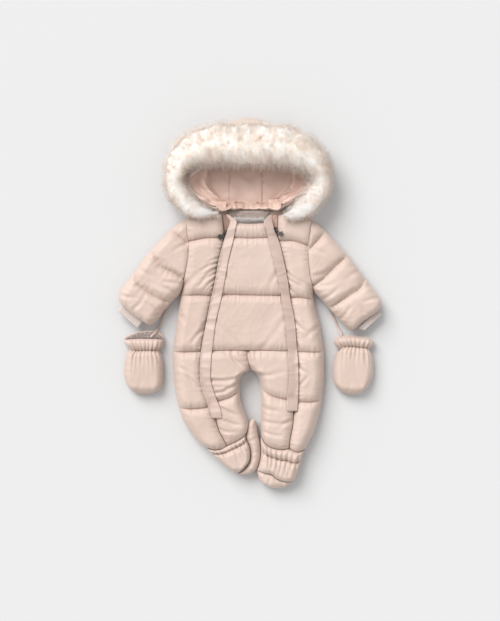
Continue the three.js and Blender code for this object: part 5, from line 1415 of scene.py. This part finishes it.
# Scatters copies of a small shape over a surface. The surface's points carry the direction each copy lies in
# and its length.
def scatterTree():
    tree = bpy.data.node_groups.new("scatter", "GeometryNodeTree")
    sockets = {}
    for name, kind in (("Geometry", "NodeSocketGeometry"), ("Copy", "NodeSocketObject"),
                       ("Density", "NodeSocketFloat"), ("Seed", "NodeSocketInt"),
                       ("Spread", "NodeSocketFloat"),
                       ("Least size", "NodeSocketFloat"), ("Greatest size", "NodeSocketFloat"),
                       ("Material", "NodeSocketMaterial")):
        sockets[name] = tree.interface.new_socket(name, in_out="INPUT", socket_type=kind).identifier
    tree.interface.new_socket("Geometry", in_out="OUTPUT", socket_type="NodeSocketGeometry")
    source = tree.nodes.new("NodeGroupInput")
    result = tree.nodes.new("NodeGroupOutput")
    spread = node(tree, "GeometryNodeDistributePointsOnFaces", distribute_method="RANDOM")
    copy = tree.nodes.new("GeometryNodeObjectInfo")
    lie = node(tree, "GeometryNodeInputNamedAttribute", data_type="FLOAT_VECTOR")
    lie.inputs["Name"].default_value = "lie"
    reach = node(tree, "GeometryNodeInputNamedAttribute", data_type="FLOAT")
    reach.inputs["Name"].default_value = "reach"
    chance = node(tree, "FunctionNodeRandomValue", data_type="FLOAT_VECTOR")
    chance.inputs[0].default_value = (-1, -1, -1)
    chance.inputs[1].default_value = (1, 1, 1)
    turn = node(tree, "FunctionNodeRandomValue", data_type="FLOAT_VECTOR")
    turn.inputs[0].default_value = (0, 0, 0)
    turn.inputs[1].default_value = (0, 0, 2 * math.pi)
    size = node(tree, "FunctionNodeRandomValue", data_type="FLOAT")
    scaled = node(tree, "ShaderNodeVectorMath", operation="SCALE")
    direction = node(tree, "ShaderNodeVectorMath", operation="ADD")
    aim = node(tree, "FunctionNodeAlignRotationToVector", axis="Z")
    length = node(tree, "ShaderNodeMath", operation="MULTIPLY")
    place = tree.nodes.new("GeometryNodeInstanceOnPoints")
    real = tree.nodes.new("GeometryNodeRealizeInstances")
    paint = tree.nodes.new("GeometryNodeSetMaterial")
    joins = [
        (source.outputs["Geometry"], spread.inputs["Mesh"]),
        (source.outputs["Density"], spread.inputs["Density"]),
        (source.outputs["Seed"], spread.inputs["Seed"]), (source.outputs["Copy"], copy.inputs["Object"]),
        (source.outputs["Spread"], scaled.inputs["Scale"]), (chance.outputs[0], scaled.inputs[0]),
        (lie.outputs["Attribute"], direction.inputs[0]), (scaled.outputs["Vector"], direction.inputs[1]),
        (source.outputs["Least size"], size.inputs[2]), (source.outputs["Greatest size"], size.inputs[3]),
        (source.outputs["Seed"], chance.inputs["Seed"]), (source.outputs["Seed"], size.inputs["Seed"]),
        (turn.outputs[0], aim.inputs["Rotation"]), (direction.outputs["Vector"], aim.inputs["Vector"]),
        (size.outputs[1], length.inputs[0]), (reach.outputs["Attribute"], length.inputs[1]),
        (spread.outputs["Points"], place.inputs["Points"]),
        (copy.outputs["Geometry"], place.inputs["Instance"]),
        (aim.outputs["Rotation"], place.inputs["Rotation"]), (length.outputs["Value"], place.inputs["Scale"]),
        (place.outputs["Instances"], real.inputs["Geometry"]),
        (real.outputs["Geometry"], paint.inputs["Geometry"]),
        (source.outputs["Material"], paint.inputs["Material"]),
        (paint.outputs["Geometry"], result.inputs["Geometry"])]
    for start, end in joins:
        tree.links.new(start, end)
    return tree, sockets


scatter, scatterSockets = scatterTree()


# Runs a node tree on a mesh once and returns the result as a plain mesh
def grown(name, mesh, tree, sockets, settings):
    holder = link(name + "Holder", mesh)
    modifier = holder.modifiers.new(name, "NODES")
    modifier.node_group = tree
    for key, value in settings.items():
        modifier[sockets[key]] = value
    bpy.context.view_layer.update()
    graph = bpy.context.evaluated_depsgraph_get()
    result = bpy.data.meshes.new_from_object(holder.evaluated_get(graph))
    holder.modifiers.remove(modifier)
    bpy.data.objects.remove(holder)
    result.name = name
    # The tree leaves an empty place before its own material
    paint = [material for material in result.materials if material]
    result.materials.clear()
    for material in paint:
        result.materials.append(material)
    result.polygons.foreach_set("material_index", np.zeros(len(result.polygons), dtype=np.int32))
    return result


# A lock of hairs one unit long: thin three-sided points that lean over and close in towards the tip
def hairLock(name, look):
    chance = np.random.default_rng(look["seed"])
    points, faces = [], []
    curl = chance.uniform(-1, 1, 2) * look["curl"]
    for _ in range(look["hairs"]):
        root = np.array([*chance.uniform(-1, 1, 2) * look["root"], 0])
        tip = np.array([*(root[:2] * look["gather"] + curl + chance.uniform(-1, 1, 2) * look["stray"]),
                        chance.uniform(0.78, 1.05)])
        bend = np.array([*chance.uniform(-1, 1, 2) * look["stray"], 0]) - np.array([*curl, 0]) * 0.4
        start = len(points)
        for t, thick in look["sections"]:
            middle = root + (tip - root) * t + bend * 4 * t * (1 - t) * 0.5
            for k in range(3):
                angle = 2 * math.pi * k / 3 + chance.uniform(-0.2, 0.2)
                points.append(middle + np.array([math.cos(angle), math.sin(angle), 0]) * thick
                    * look["thickness"])
        points.append(tip)
        rings = len(look["sections"])
        for ring in range(rings - 1):
            for k in range(3):
                a, b = start + ring * 3 + k, start + ring * 3 + (k + 1) % 3
                faces.append((a, b, b + 3, a + 3))
        last = start + (rings - 1) * 3
        faces += [(last + k, last + (k + 1) % 3, start + rings * 3) for k in range(3)]
        faces.append((start + 2, start + 1, start))
    lock = meshOf(name, np.array(points) / mm, faces)
    return link(name, lock)


furCover = {
    "hairReach": 20, "leastReach": 12, "narrowShare": 0.5, "comb": 1.0, "lift": 0.3, "ridge": 1.6,
    "pathLength": 900,
    "pieces": 4, "perPiece": 2000}
lockLooks = {
    "seed": 7, "hairs": 5, "root": 0.17, "gather": 0.15, "curl": 0.1, "stray": 0.08, "thickness": 0.0095,
    "sections": [(0, 1.0)]}
lock = hairLock("furLock", lockLooks)


def furReach():
    return np.clip(furSizes[:, 0] * furCover["narrowShare"], furCover["leastReach"], furCover["hairReach"])


# The roots: a roll inside the fur, whose points know which way the hair lies there
def rootRoll():
    reach = furReach()
    turns = np.linspace(0, 2 * math.pi, furForm["around"], endpoint=False)
    width = np.maximum((furSizes[:, :1] - 0.5 * reach[:, None]) * furEnds[:, None], 3)
    tall = np.maximum((furSizes[:, 2:3] - 0.55 * reach[:, None]) * furEnds[:, None], 3)
    x = furMiddle[:, :1] + furOut[:, :1] * width * np.cos(turns)
    y = furMiddle[:, 1:] + furOut[:, 1:] * width * np.cos(turns)
    z = furSizes[:, 1:2] + tall * np.sin(turns)
    # Locks of fur as ridges that lean over as they leave the parting
    arc = np.linspace(0, furCover["pathLength"], furForm["rings"])[:, None] + 9 * np.sin(turns)
    chance = np.random.default_rng(94)
    ridges = sum(np.sin(
        2 * math.pi * arc / chance.uniform(5, 15) + chance.uniform(0, 6.3)
        + chance.uniform(0.5, 1.4) * np.sin(turns * chance.integers(1, 4) + arc / chance.uniform(20, 60)))
        for _ in range(7)) / 3
    swell = 1 + 0.07 * unevenness(x + z, y - z, 30, 95) + furCover["ridge"] * ridges / width
    x = furMiddle[:, :1] + (x - furMiddle[:, :1]) * swell
    y = furMiddle[:, 1:] + (y - furMiddle[:, 1:]) * swell
    rings = np.dstack([x, y, np.maximum(z, 1)])
    mesh = tubeOf("furRoots", rings)
    # The way the hair lies: out from the middle of the roll, drawn along it near its ends
    along = np.gradient(furMiddle, axis=0)
    along /= np.linalg.norm(along, axis=1, keepdims=True)
    coordinates = np.empty(len(mesh.vertices) * 3)
    mesh.vertices.foreach_get("co", coordinates)
    coordinates = coordinates.reshape(-1, 3) / mm
    gap = np.linalg.norm(coordinates[:, None, :2] - furMiddle[None], axis=2)
    ring = gap.argmin(axis=1)
    centre = np.column_stack([furMiddle[ring], furSizes[ring, 1]])
    away = coordinates - centre
    away /= np.maximum(np.linalg.norm(away, axis=1, keepdims=True), 1e-6)
    t = ring / (len(furMiddle) - 1)
    outward = furOut[ring]
    sideways = (away[:, :2] * outward).sum(axis=1)
    parting = 0.25 * unevenness(coordinates[:, 0], coordinates[:, 1], 40, 96)
    comb = np.tanh((sideways + parting) * 3.0)
    drift = np.where(t < 0.5, -1.0, 1.0) * (0.25 + 1.1 * (1 - rise(np.minimum(t, 1 - t), 0.16)))
    lie = furCover["lift"] * away + np.column_stack(
        [along[ring] * drift[:, None] * 0.5 + outward * (comb * furCover["comb"])[:, None],
            np.zeros(len(ring))])
    swirl = unevenness(coordinates[:, 0], coordinates[:, 1], 55, 97)
    lie[:, 0] += 0.35 * swirl
    lie[:, 1] += 0.25 * unevenness(coordinates[:, 0], coordinates[:, 1], 48, 98)
    lie /= np.linalg.norm(lie, axis=1, keepdims=True)
    mesh.attributes.new("lie", "FLOAT_VECTOR", "POINT").data.foreach_set("vector", lie.ravel())
    mesh.attributes.new("reach", "FLOAT", "POINT").data.foreach_set("value", reach[ring] * mm)
    return mesh, t


rootMesh, rootPlace = rootRoll()
furPieces = []
for count in range(furCover["pieces"]):
    low, high = count / furCover["pieces"], (count + 1) / furCover["pieces"]
    share = rootMesh.copy()
    work = bmesh.new()
    work.from_mesh(share)
    work.verts.ensure_lookup_table()
    last = count == furCover["pieces"] - 1
    outside = [face for face in work.faces
               if not low <= np.mean([rootPlace[v.index] for v in face.verts]) < high + last]
    bmesh.ops.delete(work, geom=outside, context="FACES")
    area = sum(face.calc_area() for face in work.faces)
    work.to_mesh(share)
    work.free()
    hair = grown(f"fur{count + 1}", share, scatter, scatterSockets, {
        "Copy": lock, "Density": furCover["perPiece"] / area, "Seed": 100 + count, "Spread": 0.3,
        "Least size": 0.75, "Greatest size": 1.2, "Material": furWhite})
    piece = link(f"fur{count + 1}", hair)
    finishPiece(piece, None, "suit")
    furPieces.append(piece)
    print(piece.name, len(hair.polygons))
roots = link("furRoots", rootMesh)
finishPiece(roots, furRoot, "suit", ["hood_fur"])
bpy.data.objects.remove(lock)


# Copies of a small shape at even steps along lines, turned to follow them
def rowTree():
    tree = bpy.data.node_groups.new("row", "GeometryNodeTree")
    sockets = {}
    for name, kind in (("Geometry", "NodeSocketGeometry"), ("Copy", "NodeSocketObject"),
                       ("Pitch", "NodeSocketFloat"), ("Material", "NodeSocketMaterial")):
        sockets[name] = tree.interface.new_socket(name, in_out="INPUT", socket_type=kind).identifier
    tree.interface.new_socket("Geometry", in_out="OUTPUT", socket_type="NodeSocketGeometry")
    source = tree.nodes.new("NodeGroupInput")
    result = tree.nodes.new("NodeGroupOutput")
    lines = tree.nodes.new("GeometryNodeMeshToCurve")
    even = node(tree, "GeometryNodeCurveToPoints", mode="LENGTH")
    copy = tree.nodes.new("GeometryNodeObjectInfo")
    place = tree.nodes.new("GeometryNodeInstanceOnPoints")
    real = tree.nodes.new("GeometryNodeRealizeInstances")
    paint = tree.nodes.new("GeometryNodeSetMaterial")
    aim = node(tree, "FunctionNodeAlignRotationToVector", axis="X")
    joins = [
        (source.outputs["Geometry"], lines.inputs["Mesh"]), (lines.outputs["Curve"], even.inputs["Curve"]),
        (source.outputs["Pitch"], even.inputs["Length"]), (source.outputs["Copy"], copy.inputs["Object"]),
        (even.outputs["Points"], place.inputs["Points"]), (even.outputs["Tangent"], aim.inputs["Vector"]),
        (copy.outputs["Geometry"], place.inputs["Instance"]),
        (aim.outputs["Rotation"], place.inputs["Rotation"]),
        (place.outputs["Instances"], real.inputs["Geometry"]),
        (real.outputs["Geometry"], paint.inputs["Geometry"]),
        (source.outputs["Material"], paint.inputs["Material"]),
        (paint.outputs["Geometry"], result.inputs["Geometry"])]
    for start, end in joins:
        tree.links.new(start, end)
    return tree, sockets


rowOf, rowSockets = rowTree()


def wireOf(name, lines):
    points, edges = [], []
    for line in lines:
        start = len(points)
        points += [tuple(np.asarray(p) * mm) for p in line]
        edges += [(start + k, start + k + 1) for k in range(len(line) - 1)]
    mesh = bpy.data.meshes.new(name)
    mesh.from_pydata(points, edges, [])
    return mesh


# One stitch: a short six-sided thread, pinched at both ends
stitchForm = {"length": 2.4, "radius": 0.34, "sides": 6,
    "sections": [(-0.5, 0.35), (-0.3, 1), (0.3, 1), (0.5, 0.35)]}


def stitchShape():
    rings = []
    for place, thick in stitchForm["sections"]:
        angles = np.linspace(0, 2 * math.pi, stitchForm["sides"], endpoint=False)
        rings.append([(place * stitchForm["length"], math.cos(a) * thick * stitchForm["radius"],
                       math.sin(a) * thick * stitchForm["radius"] * 0.8) for a in angles])
    return link("stitch", tubeOf("stitch", rings))


stitch = stitchShape()
stitchSets = {"bodyStitches": [], "placketStitches": []}
for path in seamPaths:
    under = bpy.data.objects[path["on"]]
    height = lookDown([under])
    line = [(x, y, height(x, y) + 0.12) for x, y in path["points"]]
    kept = [point for point in line if point[2] > 5]
    stitchSets["placketStitches" if "placket" in path["on"] else "bodyStitches"].append(kept)
for name, lines in stitchSets.items():
    sewn = grown(name, wireOf(name, lines), rowOf, rowSockets, {
        "Copy": stitch, "Pitch": 3.3 * mm, "Material": thread})
    piece = link(name, sewn)
    finishPiece(piece, None, "suit")
    print(name, len(sewn.polygons))
bpy.data.objects.remove(stitch)

# Zip teeth: two rows that meet below the slider and part above it
toothForm = {"along": 1.4, "across": 2.3, "height": 1.3, "pitch": 2.4, "parted": 3.2, "closed": 0.85}
sliderPlace = {"left": 156, "right": 163}


def toothShape():
    work = bmesh.new()
    bmesh.ops.create_cube(work, size=1)
    for corner in work.verts:
        narrow = 0.7 if corner.co.z > 0 else 1
        corner.co.x *= toothForm["along"] * narrow * mm
        corner.co.y *= toothForm["across"] * narrow * mm
        corner.co.z *= toothForm["height"] * mm
    mesh = bpy.data.meshes.new("tooth")
    work.to_mesh(mesh)
    work.free()
    return link("tooth", mesh)


tooth = toothShape()
for side, middle in zipLines.items():
    along = np.gradient(middle, axis=0)
    along /= np.linalg.norm(along, axis=1, keepdims=True)
    across = np.stack([along[:, 1], -along[:, 0]], axis=1)
    apart = toothForm["closed"] + (toothForm["parted"] - toothForm["closed"]) * fade(
        middle[:, 1], sliderPlace[side], sliderPlace[side] + 36)
    rows = []
    for sign, start in ((1, 0), (-1, 1)):
        flat = middle[start:] + across[start:] * (sign * apart[start:, None])
        rows.append([(x, y, tapeHeight["top"] + 0.55) for x, y in flat])
    teeth = grown(f"zipTeeth{side.title()}", wireOf("zipRow", rows), rowOf, rowSockets, {
        "Copy": tooth, "Pitch": toothForm["pitch"] * mm, "Material": zipTape})
    piece = link(f"zipTeeth{side.title()}", teeth)
    finishPiece(piece, None, "suit")
bpy.data.objects.remove(tooth)
print("stitches and teeth made")

# Pile of the fleece, as short leaning locks over its upper side
fleeceCover = {
    "backNeckLining": {"reach": 2.6, "locks": 2000, "material": greigeFleece, "seed": 201},
    "frontNeckLining": {"reach": 6.5, "locks": 1500, "material": whiteFleece, "seed": 202},
    "mittenLining": {"reach": 3.4, "locks": 1600, "material": greigeFleece, "seed": 203}}
nap = hairLock("nap", {
    "seed": 9, "hairs": 3, "root": 0.22, "gather": 0.8, "curl": 0.5, "stray": 0.35, "thickness": 0.075,
    "sections": [(0, 1.0)]})
for name, look in fleeceCover.items():
    work = bmesh.new()
    work.from_mesh(fleecePieces[name].data)
    bmesh.ops.delete(work, geom=[face for face in work.faces if face.normal.z < 0.25], context="FACES")
    top = bpy.data.meshes.new(name + "Top")
    work.to_mesh(top)
    area = sum(face.calc_area() for face in work.faces)
    work.free()
    lie = np.tile((0.0, 0.15, 1.0), (len(top.vertices), 1))
    top.attributes.new("lie", "FLOAT_VECTOR", "POINT").data.foreach_set("vector", lie.ravel())
    top.attributes.new("reach", "FLOAT", "POINT").data.foreach_set("value",
        np.full(len(lie), look["reach"] * mm))
    pileMesh = grown(name + "Pile", top, scatter, scatterSockets, {
        "Copy": nap, "Density": look["locks"] / area, "Seed": look["seed"], "Spread": 0.6, "Least size": 0.6,
        "Greatest size": 1.2, "Material": look["material"]})
    piece = link(name + "Pile", pileMesh)
    finishPiece(piece, None, "suit")
    print(piece.name, len(pileMesh.polygons))
bpy.data.objects.remove(nap)


# Hard pieces keep the frame's own meshes
for name in ("zip_slider_left", "zip_slider_right", "zip_pull_left", "zip_pull_right"):
    for place in frame["nodes"][name].material_slots:
        place.material = darkMetal

# Floor and light
floorCorners = [(-9000, -9000, 0), (9000, -9000, 0), (9000, 9000, 0), (-9000, 9000, 0)]
floor = link("floor", meshOf("floor", floorCorners, [(0, 1, 2, 3)]))
floorPaint, _, floorShader = newMaterial("paleFloor")
floorShader.inputs["Base Color"].default_value = (0.6, 0.6, 0.6, 1)
floorShader.inputs["Roughness"].default_value = 0.9
floor.data.materials.append(floorPaint)

bpy.context.scene.view_settings.view_transform = "Standard"
world = bpy.data.worlds.new("studio")
bpy.context.scene.world = world
world.use_nodes = True
world.node_tree.nodes["Background"].inputs["Color"].default_value = (1, 1, 1, 1)
world.node_tree.nodes["Background"].inputs["Strength"].default_value = 0.76

# Soft daylight from the upper left
sunLight = {"strength": 3.1, "spread": 40, "towards": (0.55, -0.75, -0.85)}
lampData = bpy.data.lights.new("daylight", "SUN")
lampData.energy = sunLight["strength"]
lampData.angle = math.radians(sunLight["spread"])
lamp = bpy.data.objects.new("daylight", lampData)
lamp.location = (-1.2, 1.4, 2.4)
lamp.rotation_mode = "QUATERNION"
lamp.rotation_quaternion = Vector(sunLight["towards"]).to_track_quat("-Z", "Y")
bpy.context.scene.collection.objects.link(lamp)
